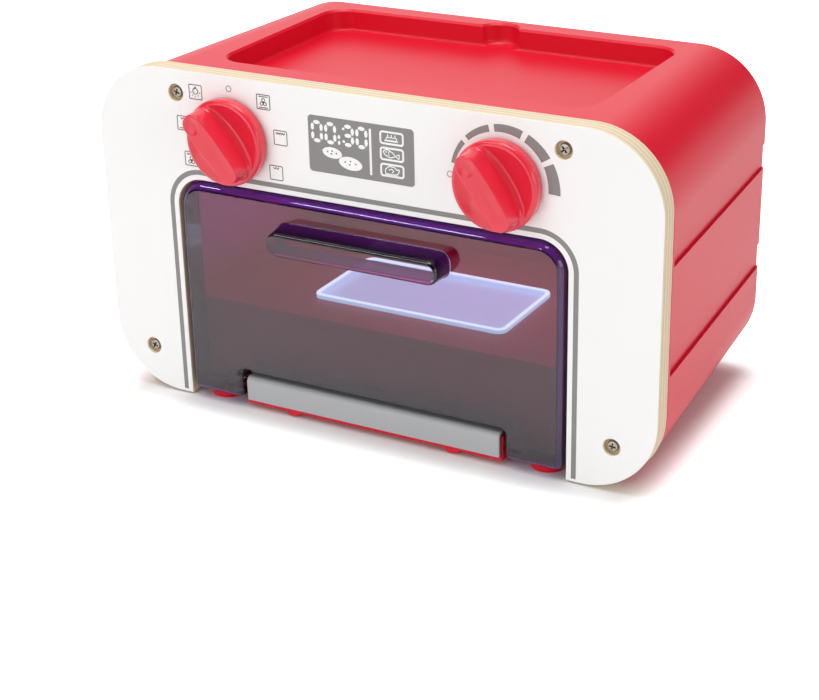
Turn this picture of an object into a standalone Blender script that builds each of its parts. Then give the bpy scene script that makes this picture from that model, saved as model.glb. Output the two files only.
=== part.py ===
"""Toy oven: a plywood front panel screwed to a tapered red housing, with a smoked
drop-down door, two grip knobs on rotary switches, a lit plate in the cavity floor,
and a battery compartment in the back.

Lengths are in metres. Shapes are drawn in the panel frame: x to the right, depth
from the front face of the panel towards the back, and height from the lower edge
of the panel. The parent empty puts that frame on the ground with the whole oven
centred on the origin.
"""

import math

import bmesh
import bpy
from mathutils import Matrix, Vector

# Overall sizes: most places below are set from the edges that these give
PANEL_WIDTH = 0.3000
PANEL_HEIGHT = 0.1718
BODY_REACH = 0.1597

# Front panel, the plywood sheet that everything else is drawn from
PANEL_THICKNESS = 0.0106
PANEL_CORNER = 0.0374
FOOT_LIFT = 0.0010

# Assembly allowances
GAP = 0.0003
OVERRUN = 0.0020
OVERLAP = 0.0005
ARC_STEPS = 8
EDGE_STEPS = 3
ROUND_STEPS = 24
DISC_STEPS = 40
SMALL_STEPS = 12
PILOT_STEPS = 8

# Door opening in the panel, between two legs and under a head
PANEL_LEG = 0.0447
PANEL_HEAD = 0.0543
OPENING_HALF = PANEL_WIDTH / 2 - PANEL_LEG
OPENING_TOP = PANEL_HEIGHT - PANEL_HEAD
OPENING_CORNER = 0.0145

# Housing
PANEL_RIM = 0.0028
HOUSING_TOP = PANEL_HEIGHT - PANEL_RIM
HOUSING_BOTTOM = 0.0016
HOUSING_RISE = 0.0024
HOUSING_TAPER = 0.0104
HOUSING_CORNER = 0.0362
HOUSING_BACK_ROUND = 0.0040
HOUSING_WALL = 0.0025
BOTTOM_WALL = 0.0024

# Side grooves of the housing
GROOVE_LEDGE_SHARES = (0.329, 0.637)
GROOVE_HEIGHT = 0.0128
GROOVE_DEPTH = 0.0014
GROOVE_START = 0.0130
GROOVE_FRONT_ROUND = 0.0080

# Storage recess in the top of the housing, with its finger notch
RECESS_SIDE = 0.0509
RECESS_FRONT = 0.0319
RECESS_BEHIND = 0.0159
RECESS_HALF = PANEL_WIDTH / 2 - RECESS_SIDE
RECESS_BACK = BODY_REACH - RECESS_BEHIND
RECESS_DEPTH = 0.0113
RECESS_CORNER = 0.0130
NOTCH_RADIUS = 0.0110
NOTCH_BEHIND = 0.0075
NOTCH_FLOOR_RISE = 0.0022

# Feet
FOOT_RADIUS = 0.0085
FOOT_SIDE = 0.0590
FOOT_X = PANEL_WIDTH / 2 - FOOT_SIDE
FOOT_FRONT_DEPTH = 0.0120
FOOT_BACK_INSET = 0.0180

# Panel screws, each in a counterbore, driven into a boss of the housing
SCREW_HIGH_SIDE = 0.0477
SCREW_HIGH_DROP = 0.0116
SCREW_LOW_SIDE = 0.0220
SCREW_LOW_Z = 0.0223
SCREW_HIGH_X = PANEL_WIDTH / 2 - SCREW_HIGH_SIDE
SCREW_HIGH_Z = PANEL_HEIGHT - SCREW_HIGH_DROP
SCREW_LOW_X = PANEL_WIDTH / 2 - SCREW_LOW_SIDE
COUNTERBORE_RADIUS = 0.0042
COUNTERBORE_DEPTH = 0.0028
SCREW_HEAD_RADIUS = 0.0029
SCREW_HEAD_HEIGHT = 0.0018
SCREW_SHANK_RADIUS = 0.0016
SCREW_LENGTH = 0.0220
SCREW_CROSS_HALF = 0.0019
SCREW_CROSS_WIDTH = 0.0008
SCREW_CROSS_DEPTH = 0.0008
BOSS_RADIUS = 0.0045
BOSS_LENGTH = 0.0190
RIB_THICKNESS = 0.0030

# Door pan, with its hollow handle moulded in one
DOOR_SIDE_GAP = 0.0011
DOOR_TOP_GAP = 0.0015
DOOR_BOTTOM = 0.0033
DOOR_PROUD = 0.0018
DOOR_DEPTH = 0.0150
DOOR_WALL = 0.0024
DOOR_EDGE_ROUND = 0.0036
DOOR_FOOT_CORNER = 0.0036
DOOR_NOTCH_SIDE = 0.0325
DOOR_NOTCH_HALF = OPENING_HALF - DOOR_NOTCH_SIDE
DOOR_NOTCH_TOP = 0.0180
DOOR_NOTCH_CORNER = 0.0020
HANDLE_PROUD = 0.0122
HANDLE_WALL = 0.0018
HANDLE_SIDE = 0.0586
HANDLE_DROP = 0.0134
HANDLE_ROOT_TALL = 0.0136
HANDLE_ROOT_HALF = OPENING_HALF - HANDLE_SIDE
HANDLE_ROOT_HIGH = OPENING_TOP - HANDLE_DROP
HANDLE_ROOT_LOW = HANDLE_ROOT_HIGH - HANDLE_ROOT_TALL
HANDLE_FRONT_DRAW = 0.0005
HANDLE_FRONT_LIFT = 0.0003
HANDLE_FRONT_FALL = 0.0015
HANDLE_END_ROUND = 0.0058
HANDLE_EDGE_ROUND = 0.0011

# Door hinge: a steel pin in each end of the sill, running in a boss of the door
HINGE_DEPTH = 0.0052
HINGE_HEIGHT = 0.0104
HINGE_PIN_RADIUS = 0.0020
HINGE_BOSS_RADIUS = 0.0050
HINGE_BOSS_LENGTH = 0.0100
HINGE_PIN_IN_SILL = 0.0140

# Sill, a tongue of the housing between the door's lower corners, and its trim
SILL_END_GAP = 0.0008
SILL_HALF = DOOR_NOTCH_HALF - SILL_END_GAP
SILL_LOW = 0.0016
SILL_LIP_HEIGHT = 0.0020
SILL_LIP_DEPTH = 0.0006
SILL_FLOOR = 0.0030
SILL_BACK = 0.0112
SILL_END_WALL = 0.0160
SILL_CORE_WALL = 0.0022
TRIM_INSET = 0.0010
TRIM_HALF = SILL_HALF - TRIM_INSET
TRIM_PROUD = 0.0006
TRIM_LOW = 0.0036
TRIM_HIGH = 0.0164
TRIM_WALL = 0.0020
TRIM_BACK = 0.0096
TRIM_ROUND = 0.0030
NUB_SIDE = 0.0272
NUB_X = SILL_HALF - NUB_SIDE
NUB_HALF = 0.0042
NUB_CLEARANCE = 0.0006
NUB_LENGTH = 0.0080

# Cavity liner
LINER_SIDE_GAP = 0.0007
LINER_TOP_GAP = 0.0011
LINER_BEHIND = 0.0267
LINER_HALF = OPENING_HALF + LINER_SIDE_GAP
LINER_TOP = OPENING_TOP + LINER_TOP_GAP
LINER_FLOOR = 0.0480
LINER_BACK = BODY_REACH - LINER_BEHIND
LINER_WALL = 0.0020
LINER_CORNER = 0.0150
LINER_FLOOR_CORNER = 0.0060
LINER_APRON_DEPTH = 0.0172
LINER_APRON_LOW = 0.0046
LINER_FLANGE = 0.0080
LINER_SCREW_LOW = 0.0300
LINER_SCREW_DROP = 0.0326
LINER_SCREW_SIDE = 0.0460
LINER_SCREW_MID = LINER_TOP - LINER_SCREW_DROP
LINER_SCREW_X = LINER_HALF - LINER_SCREW_SIDE

# Lit plate in the cavity floor, with the light box, board and lamps below it
PLATE_SIDE = 0.0520
PLATE_BEHIND = 0.0370
PLATE_HALF = LINER_HALF - PLATE_SIDE
PLATE_FRONT = 0.0390
PLATE_BACK = LINER_BACK - PLATE_BEHIND
PLATE_RIM_WIDTH = 0.0020
PLATE_RIM_RISE = 0.0027
PLATE_RECESS = 0.0034
PLATE_RECESS_INSET = 0.0048
PLATE_SEAT = 0.0028
PLATE_CORNER = 0.0050
PLATE_SPIGOT_DROP = 0.0026
LIGHT_BOX_MARGIN = 0.0020
LIGHT_BOX_WALL = 0.0016
LIGHT_BOX_DEPTH = 0.0190
LIGHT_EAR = 0.0070
LIGHT_BOSS_RADIUS = 0.0034
LIGHT_BOSS_HEIGHT = 0.0080
LED_BOARD_INSET = 0.0030
BOARD_THICKNESS = 0.0016
LED_POST_HEIGHT = 0.0030
LED_POST_RADIUS = 0.0020
LED_RADIUS = 0.0025
LED_HEIGHT = 0.0042
LED_COLUMNS = 3
LED_ROWS = 2
LED_PITCH_X_SHARE = 0.304
LED_PITCH_Y_SHARE = 0.386

# Knobs, their shafts and rotary switches
KNOB_SIDE = 0.0782
KNOB_DROP = 0.0311
KNOB_X = PANEL_WIDTH / 2 - KNOB_SIDE
KNOB_Z = PANEL_HEIGHT - KNOB_DROP
KNOB_PROUD = 0.0180
KNOB_GAP = 0.0009
KNOB_RADIUS = 0.0213
KNOB_BACK_RADIUS = 0.0208
KNOB_RIM_DEPTH = 0.0076
KNOB_RIM_ROUND = 0.0022
KNOB_DISH_DROP = 0.0031
KNOB_DISH_POWER = 3
KNOB_SKIRT_WALL = 0.0022
KNOB_HOLLOW_DEPTH = 0.0018
KNOB_HUB_RADIUS = 0.0062
GRIP_REACH_POINTER = 0.0196
GRIP_REACH_TAIL = 0.0190
GRIP_POINTER_RADIUS = 0.0053
GRIP_TAIL_RADIUS = 0.0050
GRIP_FLARE = 0.0036
GRIP_FLARE_RISE = 0.0042
GRIP_DRAFT = 0.0004
GRIP_ROOT = 0.0010
GRIP_EDGE_ROUND = 0.0008
DIMPLE_RADIUS = 0.0042
DIMPLE_DEPTH = 0.0006
DIMPLE_FROM_TIP = 0.0066
LEFT_POINTER_DEG = 131.4
RIGHT_POINTER_DEG = 126.0
SHAFT_RADIUS = 0.0030
SHAFT_FLAT = 0.0022
SHAFT_IN_KNOB = 0.0110
SHAFT_BORE_RADIUS = 0.0046
SWITCH_HALF = 0.0110
SWITCH_DEPTH = 0.0090
SWITCH_COLLAR_RADIUS = 0.0042
SWITCH_COLLAR_LENGTH = 0.0060

# Control board behind the knobs, on spacers screwed to the panel
BOARD_BEYOND_KNOB = 0.0232
CONTROL_BOARD_HALF = KNOB_X + BOARD_BEYOND_KNOB
CONTROL_BOARD_HEIGHT = 0.0240
SPACER_RADIUS = 0.0030
SPACER_INWARD = 0.0238
SPACER_OUTWARD = 0.0182
SPACER_INNER_X = KNOB_X - SPACER_INWARD
SPACER_OUTER_X = KNOB_X + SPACER_OUTWARD
BOARD_SCREW_LENGTH = 0.0180

# Small wood and plastic screws inside
SMALL_HEAD_RADIUS = 0.0026
SMALL_HEAD_HEIGHT = 0.0018
SMALL_SHANK_RADIUS = 0.0013
SMALL_SCREW_LENGTH = 0.0090
PILOT_CLEARANCE = 0.0003

# Battery compartment in the back wall
CELL_RADIUS = 0.00725
CELL_LENGTH = 0.0505
CELL_NUB_RADIUS = 0.00275
CELL_NUB_LENGTH = 0.0012
CELL_COUNT = 3
CELL_PITCH = 0.0156
CELL_LOWEST = 0.0380
CELL_END_SPACE = 0.0036
POCKET_WALL = 0.0018
POCKET_DEPTH = 0.0203
POCKET_FRONT = BODY_REACH - POCKET_DEPTH
CELL_FRONT_GAP = 0.0010
COVER_MARGIN = 0.0048
COVER_TAB = 0.0110
COVER_THICKNESS = 0.0015
COVER_CORNER = 0.0030
COVER_LEDGE = 0.0022
COVER_SCREW_HEAD_RADIUS = 0.0027
COVER_SCREW_LENGTH = 0.0110
CONTACT_SIZE = 0.0110
CONTACT_THICKNESS = 0.0004
CONTACT_TIP_RADIUS = 0.0016

# Depth of the panel's front face: knob fronts and housing back share the middle
FRONT_Y = -(BODY_REACH - KNOB_PROUD) / 2
BODY_FRONT = PANEL_THICKNESS + GAP
BODY_LENGTH = BODY_REACH - BODY_FRONT
RECESS_FLOOR = HOUSING_TOP - RECESS_DEPTH

COLOURS = {
    "housing_red": ((0.62, 0.020, 0.030), 0.35, 0.0),
    "knob_red": ((0.70, 0.008, 0.020), 0.28, 0.0),
    "plywood": ((0.86, 0.84, 0.80), 0.55, 0.0),
    "smoked_plastic": ((0.11, 0.08, 0.10), 0.08, 0.0),
    "silver_plastic": ((0.38, 0.39, 0.40), 0.35, 0.0),
    "liner_red": ((0.45, 0.030, 0.050), 0.45, 0.0),
    "opal_plastic": ((0.85, 0.88, 0.93), 0.30, 0.0),
    "white_plastic": ((0.80, 0.80, 0.80), 0.45, 0.0),
    "steel": ((0.55, 0.55, 0.56), 0.30, 1.0),
    "black_plastic": ((0.03, 0.03, 0.03), 0.45, 0.0),
    "board_green": ((0.02, 0.16, 0.06), 0.45, 0.0),
    "lamp_clear": ((0.90, 0.92, 0.95), 0.12, 0.0),
    "cell_sleeve": ((0.08, 0.09, 0.11), 0.35, 0.0),
}


def clear_scene():
    for obj in list(bpy.data.objects):
        bpy.data.objects.remove(obj, do_unlink=True)


def material(name):
    found = bpy.data.materials.get(name)
    if found:
        return found
    colour, roughness, metallic = COLOURS[name]
    made = bpy.data.materials.new(name)
    made.use_nodes = True
    shader = made.node_tree.nodes["Principled BSDF"]
    shader.inputs["Base Color"].default_value = (*colour, 1.0)
    shader.inputs["Roughness"].default_value = roughness
    shader.inputs["Metallic"].default_value = metallic
    made.diffuse_color = (*colour, 1.0)
    return made


# Outlines

def rounded_polygon(corners, steps=ARC_STEPS):
    """Points of a polygon with its corners (u, v, radius) rounded.

    A fourth value in a corner sets the number of steps in its arc.
    """
    points = []
    count = len(corners)
    arc_steps = [corner[3] if len(corner) > 3 else steps for corner in corners]
    corners = [corner[:3] for corner in corners]
    for index, (u, v, radius) in enumerate(corners):
        here = Vector((u, v))
        if radius <= 0:
            points.append((u, v))
            continue
        before = (Vector(corners[index - 1][:2]) - here).normalized()
        after = (Vector(corners[(index + 1) % count][:2]) - here).normalized()
        half_angle = before.angle(after) / 2
        centre = here + (before + after).normalized() * radius / math.sin(half_angle)
        start = here + before * radius / math.tan(half_angle) - centre
        end = here + after * radius / math.tan(half_angle) - centre
        turn = start.angle_signed(end)
        for step in range(arc_steps[index] + 1):
            spoke = start.copy()
            spoke.rotate(Matrix.Rotation(-turn * step / arc_steps[index], 2))
            points.append(tuple(centre + spoke))
    return points


def rounded_box(left, right, low, high, radius, steps=ARC_STEPS):
    corners = [(left, low, radius), (right, low, radius), (right, high, radius), (left, high, radius)]
    return rounded_polygon(corners, steps)


def circle(radius, steps, centre=(0.0, 0.0)):
    turns = [2 * math.pi * step / steps for step in range(steps)]
    return [(centre[0] + radius * math.cos(t), centre[1] + radius * math.sin(t)) for t in turns]


# Meshes: every solid is a row of matching loops, joined side by side and capped

def add_loft(bm, loops):
    """Join matching loops. A row that ends on its first loop is a tube and has no caps."""
    tube = loops[0] == loops[-1]
    rows = [[bm.verts.new(point) for point in loop] for loop in (loops[:-1] if tube else loops)]
    if tube:
        rows.append(rows[0])
    count = len(rows[0])
    for lower, upper in zip(rows, rows[1:]):
        for i in range(count):
            j = (i + 1) % count
            bm.faces.new((lower[i], lower[j], upper[j], upper[i]))
    if not tube:
        bm.faces.new(list(reversed(rows[0])))
        bm.faces.new(rows[-1])


def face_loops(outline, depths):
    """The outline (x, height) repeated at each depth."""
    return [[(x, depth, z) for x, z in outline] for depth in depths]


def plan_loops(outline, heights):
    """The outline (x, depth) repeated at each height."""
    return [[(x, y, height) for x, y in outline] for height in heights]


def side_loops(outline, places):
    """The outline (depth, height) repeated at each x."""
    return [[(x, y, z) for y, z in outline] for x in places]


def turned_loops(profile, steps, centre, axis):
    """Rings of a turned solid: profile is (radius, place along the axis)."""
    loops = []
    for radius, along in profile:
        ring = circle(radius, steps)
        if axis == "X":
            loops.append([(along, centre[0] + a, centre[1] + b) for a, b in ring])
        elif axis == "Y":
            loops.append([(centre[0] + a, along, centre[1] + b) for a, b in ring])
        else:
            loops.append([(centre[0] + a, centre[1] + b, along) for a, b in ring])
    return loops


class Builder:
    """Keeps the parent empty and turns lists of loops into named objects."""

    def __init__(self):
        self.scene = bpy.context.scene
        self.root = self.empty("panel_front_plane", (0.0, FRONT_Y, FOOT_LIFT), None)

    def link(self, obj):
        self.scene.collection.objects.link(obj)
        return obj

    def empty(self, name, place, parent):
        obj = self.link(bpy.data.objects.new(name, None))
        obj.location = place
        obj.parent = parent
        return obj

    def mesh(self, name, solids, origin, angle):
        bm = bmesh.new()
        for loops in solids:
            add_loft(bm, loops)
        bmesh.ops.recalc_face_normals(bm, faces=bm.faces)
        bmesh.ops.translate(bm, verts=bm.verts, vec=-Vector(origin))
        if angle:
            turn = Matrix.Rotation(angle, 3, "Y")
            bmesh.ops.rotate(bm, verts=bm.verts, cent=(0, 0, 0), matrix=turn)
        mesh = bpy.data.meshes.new(name)
        bm.to_mesh(mesh)
        bm.free()
        mesh.shade_smooth()
        mesh.set_sharp_from_angle(angle=math.radians(35))
        return mesh

    def piece(self, name, finish, solids, origin=(0.0, 0.0, 0.0), angle=0.0):
        obj = self.link(bpy.data.objects.new(name, self.mesh(name, solids, origin, angle)))
        obj.data.materials.append(material(finish))
        obj.location = origin
        obj.parent = self.root
        return obj

    def copies(self, name, finish, loops, places):
        """One object for each place, sharing a mesh that is drawn round the origin."""
        first = self.piece(f"{name}_1", finish, [loops])
        made = [first]
        for number in range(2, len(places) + 1):
            made.append(self.link(bpy.data.objects.new(f"{name}_{number}", first.data)))
        for obj, place in zip(made, places):
            obj.location = place
            obj.parent = self.root
        return made

    def guide(self, name, solids, origin=(0.0, 0.0, 0.0), angle=0.0):
        obj = self.link(bpy.data.objects.new(name, self.mesh(name, solids, origin, angle)))
        obj.location = origin
        obj.parent = self.root
        obj.hide_render = True
        obj.display_type = "WIRE"
        return obj


def combine(obj, other, operation):
    step = obj.modifiers.new(other.name, "BOOLEAN")
    step.operation = operation
    step.solver = "EXACT"
    step.object = other


def cut(obj, *others):
    for other in others:
        combine(obj, other, "DIFFERENCE")


def join(obj, *others):
    for other in others:
        combine(obj, other, "UNION")


# Screws

def screw_loops(head_radius, head_height, shank, length, axis, way):
    """A pan-head screw from the middle of its head's face, driven along an axis."""
    crown = head_height / 3
    profile = [
        (head_radius - crown, 0.0),
        (head_radius, way * crown),
        (head_radius, way * head_height),
        (shank, way * head_height),
        (shank, way * (length - shank)),
        (shank / 3, way * length),
    ]
    return turned_loops(profile, SMALL_STEPS, (0.0, 0.0), axis)


def small_screws(b, name, length, places, axis="Y", way=-1):
    loops = screw_loops(SMALL_HEAD_RADIUS, SMALL_HEAD_HEIGHT, SMALL_SHANK_RADIUS, length, axis, way)
    return b.copies(name, "steel", loops, places)


def cross_loops(x, face, z):
    """The cross-shaped driver recess of a screw head."""
    long = SCREW_CROSS_HALF
    half = SCREW_CROSS_WIDTH / 2
    arm = [(half, long), (half, half), (long, half)]
    outline = []
    for quarter in range(4):
        turn = Matrix.Rotation(-math.pi / 2 * quarter, 2)
        for u, v in arm:
            point = turn @ Vector((u, v))
            outline.append((x + point.x, z + point.y))
    return face_loops(outline, (face - OVERRUN, face + SCREW_CROSS_DEPTH))


def panel_screw_places():
    high = [(side * SCREW_HIGH_X, SCREW_HIGH_Z) for side in (-1, 1)]
    low = [(side * SCREW_LOW_X, SCREW_LOW_Z) for side in (-1, 1)]
    return high + low


def liner_screw_places():
    out = LINER_HALF + LINER_WALL + LINER_FLANGE / 2
    top = LINER_TOP + LINER_WALL + LINER_FLANGE / 2
    sides = [(side * out, z) for side in (-1, 1) for z in (LINER_SCREW_LOW, LINER_SCREW_MID)]
    return sides + [(side * LINER_SCREW_X, top) for side in (-1, 1)]


def spacer_places():
    return [(side * x, KNOB_Z) for side in (-1, 1) for x in (SPACER_INNER_X, SPACER_OUTER_X)]


def board_front():
    """Depth of the control board's front face, behind the switches."""
    return BODY_FRONT + SWITCH_DEPTH + GAP


# Front panel

def arch_outline(half, low, high, radius, foot=0.0):
    corners = [(-half, low, foot), (half, low, foot), (half, high, radius), (-half, high, radius)]
    return rounded_polygon(corners)


def build_panel(b):
    outline = rounded_box(-PANEL_WIDTH / 2, PANEL_WIDTH / 2, 0, PANEL_HEIGHT, PANEL_CORNER)
    panel = b.piece("front_panel", "plywood", [face_loops(outline, (0, PANEL_THICKNESS))])
    through = (-OVERRUN, PANEL_THICKNESS + OVERRUN)
    opening = arch_outline(OPENING_HALF, -PANEL_CORNER, OPENING_TOP, OPENING_CORNER)
    cut(panel, b.guide("cut_door_opening", [face_loops(opening, through)]))
    holes = []
    for x, z in panel_screw_places():
        clear = SCREW_SHANK_RADIUS + PILOT_CLEARANCE
        profile = [
            (COUNTERBORE_RADIUS, -OVERRUN),
            (COUNTERBORE_RADIUS, COUNTERBORE_DEPTH),
            (clear, COUNTERBORE_DEPTH),
            (clear, PANEL_THICKNESS + OVERRUN),
        ]
        holes.append(turned_loops(profile, ROUND_STEPS, (x, z), "Y"))
    for side in (-1, 1):
        bore = [(SHAFT_BORE_RADIUS, along) for along in through]
        holes.append(turned_loops(bore, ROUND_STEPS, (side * KNOB_X, KNOB_Z), "Y"))
    cut(panel, b.guide("cut_panel_holes", holes))
    pilots = []
    pilot = SMALL_SHANK_RADIUS + PILOT_CLEARANCE
    liner_tip = BODY_FRONT + LINER_WALL + GAP - SMALL_SCREW_LENGTH + SMALL_HEAD_HEIGHT
    board_tip = board_front() + BOARD_THICKNESS + GAP - BOARD_SCREW_LENGTH + SMALL_HEAD_HEIGHT
    for places, tip in ((liner_screw_places(), liner_tip), (spacer_places(), board_tip)):
        for x, z in places:
            profile = [(pilot, tip - GAP), (pilot, PANEL_THICKNESS + OVERRUN)]
            pilots.append(turned_loops(profile, PILOT_STEPS, (x, z), "Y"))
    cut(panel, b.guide("cut_panel_pilots", pilots))
    head_face = COUNTERBORE_DEPTH - GAP - SCREW_HEAD_HEIGHT
    loops = screw_loops(SCREW_HEAD_RADIUS, SCREW_HEAD_HEIGHT, SCREW_SHANK_RADIUS, SCREW_LENGTH, "Y", 1)
    places = [(x, head_face, z) for x, z in panel_screw_places()]
    crosses = b.guide("cut_screw_crosses", [cross_loops(*place) for place in places])
    for screw in b.copies("panel_screw", "steel", loops, places):
        cut(screw, crosses)


# Housing

def housing_half(depth):
    """Half the housing's width at a depth: the sides draw in towards the back."""
    share = (depth - BODY_FRONT) / BODY_LENGTH
    return PANEL_WIDTH / 2 - HOUSING_TAPER * share


def housing_low(depth):
    return HOUSING_BOTTOM + HOUSING_RISE * (depth - BODY_FRONT) / BODY_LENGTH


def housing_loop(depth, inset, floor_inset):
    half = housing_half(depth) - inset
    low = housing_low(depth) + floor_inset
    radius = max(HOUSING_CORNER - inset, HOUSING_WALL)
    outline = rounded_box(-half, half, low, HOUSING_TOP - inset, radius)
    return [(x, depth, z) for x, z in outline]


def rounded_back(front, back, radius, steps=4):
    """Depths and insets of a body from its open front to a rounded back edge."""
    rows = [(front, 0.0)]
    for step in range(steps + 1):
        angle = math.pi / 2 * step / steps
        rows.append((back - radius * (1 - math.sin(angle)), radius * (1 - math.cos(angle))))
    return rows


def groove_loops(side, ledge):
    """One shallow side groove, its floor parallel to the drawn-in side."""
    top = ledge + GROOVE_HEIGHT
    end = BODY_REACH + OVERRUN
    corners = [(GROOVE_START, ledge, 0.0), (end, ledge, 0.0), (end, top, 0.0)]
    corners.append((GROOVE_START, top, GROOVE_FRONT_ROUND))
    outline = rounded_polygon(corners)
    loops = []
    for inset in (GROOVE_DEPTH, -OVERRUN):
        loops.append([(side * (housing_half(y) - inset), y, z) for y, z in outline])
    return loops


def pocket_edges():
    """Left, right, low and high edges of the battery pocket."""
    half = CELL_LENGTH / 2 + CELL_END_SPACE
    low = CELL_LOWEST - CELL_PITCH / 2
    return -half, half, low, low + CELL_COUNT * CELL_PITCH


def cover_edges():
    left, right, low, high = pocket_edges()
    return left - COVER_MARGIN, right + COVER_MARGIN, low - COVER_MARGIN, high + COVER_TAB


def cover_screw_height():
    return pocket_edges()[3] + COVER_TAB / 2


def cover_front():
    """Depth of the battery cover's inner face."""
    return BODY_REACH - COVER_THICKNESS


def build_housing(b):
    rows = rounded_back(BODY_FRONT, BODY_REACH, HOUSING_BACK_ROUND)
    housing = b.piece("housing", "housing_red", [[housing_loop(d, inset, inset) for d, inset in rows]])
    inner_round = HOUSING_BACK_ROUND - HOUSING_WALL
    rows = rounded_back(BODY_FRONT - OVERRUN, BODY_REACH - HOUSING_WALL, inner_round, 2)
    loops = [housing_loop(d, inset + HOUSING_WALL, inset + BOTTOM_WALL) for d, inset in rows]
    hollow = b.guide("cut_housing_hollow", [loops])
    recess_walls, notch_walls = recess_solids(HOUSING_WALL, True)
    pocket_walls, cover_ledge, cover_boss = pocket_wall_solids()
    cut(hollow, b.guide("keep_recess_walls", [recess_walls]))
    cut(hollow, b.guide("keep_notch_walls", [notch_walls]))
    cut(hollow, b.guide("keep_screw_bosses", boss_solids()))
    cut(hollow, b.guide("keep_boss_ribs", rib_solids()))
    cut(hollow, b.guide("keep_pocket_walls", [pocket_walls]))
    cut(hollow, b.guide("keep_cover_ledge", [cover_ledge]))
    cut(hollow, b.guide("keep_cover_boss", [cover_boss]))
    cut(housing, hollow)
    cut(housing, b.guide("cut_top_recess", recess_solids(0.0, False)[:1]))
    cut(housing, b.guide("cut_finger_notch", recess_solids(0.0, False)[1:]))
    ledges = [share * PANEL_HEIGHT for share in GROOVE_LEDGE_SHARES]
    grooves = [groove_loops(side, ledge) for side in (-1, 1) for ledge in ledges]
    cut(housing, b.guide("cut_side_grooves", grooves))
    cut(housing, b.guide("cut_battery_pocket", [pocket_hollow_loops()]))
    cut(housing, b.guide("cut_cover_seat", [cover_seat_loops()]))
    cut(housing, b.guide("cut_screw_pilots", housing_pilot_solids()))
    sweep = DOOR_DEPTH - DOOR_PROUD + GAP * 3
    edge = rounded_box(-OPENING_HALF, OPENING_HALF, -FOOT_LIFT, LINER_FLOOR / 2, OVERRUN, 2)
    cut(housing, b.guide("cut_door_clearance", [face_loops(edge, (BODY_FRONT - OVERRUN, sweep))]))
    join(housing, b.guide("add_sill", [side_loops(sill_outline(), (-SILL_HALF, SILL_HALF))]))
    cut(housing, b.guide("cut_sill_cores", sill_core_solids()))
    cut(housing, b.guide("cut_hinge_bores", hinge_bore_solids()))
    join(housing, b.guide("add_feet", foot_solids()))
    cut(housing, b.guide("cut_door_swing", door_swing_solids()))
    join(housing, b.guide("add_sill_nubs", nub_solids()))
    return housing


def recess_solids(wall, from_inside):
    """The top recess and its finger notch, grown by wall for the walls round them."""
    outline = rounded_box(
        -RECESS_HALF - wall,
        RECESS_HALF + wall,
        RECESS_FRONT - wall,
        RECESS_BACK + wall,
        RECESS_CORNER + wall,
    )
    low = RECESS_FLOOR - wall
    high = HOUSING_TOP + OVERRUN
    notch_low = RECESS_FLOOR - wall if from_inside else RECESS_FLOOR + NOTCH_FLOOR_RISE
    centre = (0.0, RECESS_BACK + NOTCH_BEHIND - NOTCH_RADIUS)
    scoop = NOTCH_RADIUS - NOTCH_FLOOR_RISE
    notch = [(NOTCH_RADIUS + wall, notch_low), (NOTCH_RADIUS + wall, high)]
    if not from_inside:
        notch = [(scoop, RECESS_FLOOR), (NOTCH_RADIUS, notch_low), (NOTCH_RADIUS, high)]
    return [plan_loops(outline, (low, high)), turned_loops(notch, ROUND_STEPS, centre, "Z")]


def boss_solids():
    ends = (BODY_FRONT - OVERRUN * 2, BODY_FRONT + BOSS_LENGTH)
    places = panel_screw_places()
    return [turned_loops([(BOSS_RADIUS, e) for e in ends], SMALL_STEPS, place, "Y") for place in places]


def rib_solids():
    """A rib from each screw boss to the nearest wall, and on the back of the recess."""
    half = RIB_THICKNESS / 2
    depths = (BODY_FRONT - OVERRUN * 2, BODY_FRONT + BOSS_LENGTH - OVERLAP)
    solids = []
    for side in (-1, 1):
        x = side * SCREW_HIGH_X
        box = [(x - half, SCREW_HIGH_Z), (x + half, SCREW_HIGH_Z), (x + half, HOUSING_TOP), (x - half, HOUSING_TOP)]
        solids.append(face_loops(box, depths))
        inner = side * SCREW_LOW_X
        outer = side * PANEL_WIDTH / 2
        z = SCREW_LOW_Z
        box = [(inner, z - half), (outer, z - half), (outer, z + half), (inner, z + half)]
        solids.append(face_loops(box, depths))
    return solids


def pocket_wall_solids():
    """The battery pocket's walls and the thicker ledge round its cover."""
    left, right, low, high = pocket_edges()
    wall = POCKET_WALL
    outline = [(left - wall, low - wall), (right + wall, low - wall), (right + wall, high + wall), (left - wall, high + wall)]
    solids = [face_loops(outline, (POCKET_FRONT - wall, BODY_REACH))]
    left, right, low, high = cover_edges()
    outline = rounded_box(left - wall, right + wall, low - wall, high + wall, COVER_CORNER + wall, 4)
    ledge = cover_front() - GAP - COVER_LEDGE
    solids.append(face_loops(outline, (ledge, BODY_REACH)))
    boss = COVER_TAB / 2 + OVERLAP
    depth = BODY_REACH - COVER_SCREW_LENGTH - POCKET_WALL * 2
    place = (0.0, cover_screw_height())
    solids.append(turned_loops([(boss, depth), (boss, BODY_REACH)], SMALL_STEPS, place, "Y"))
    return solids


def pocket_hollow_loops():
    left, right, low, high = pocket_edges()
    outline = [(left, low), (right, low), (right, high), (left, high)]
    return face_loops(outline, (POCKET_FRONT, BODY_REACH + OVERRUN))


def cover_seat_loops():
    left, right, low, high = cover_edges()
    outline = rounded_box(left, right, low, high, COVER_CORNER, 4)
    return face_loops(outline, (cover_front() - GAP, BODY_REACH + OVERRUN))


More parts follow.
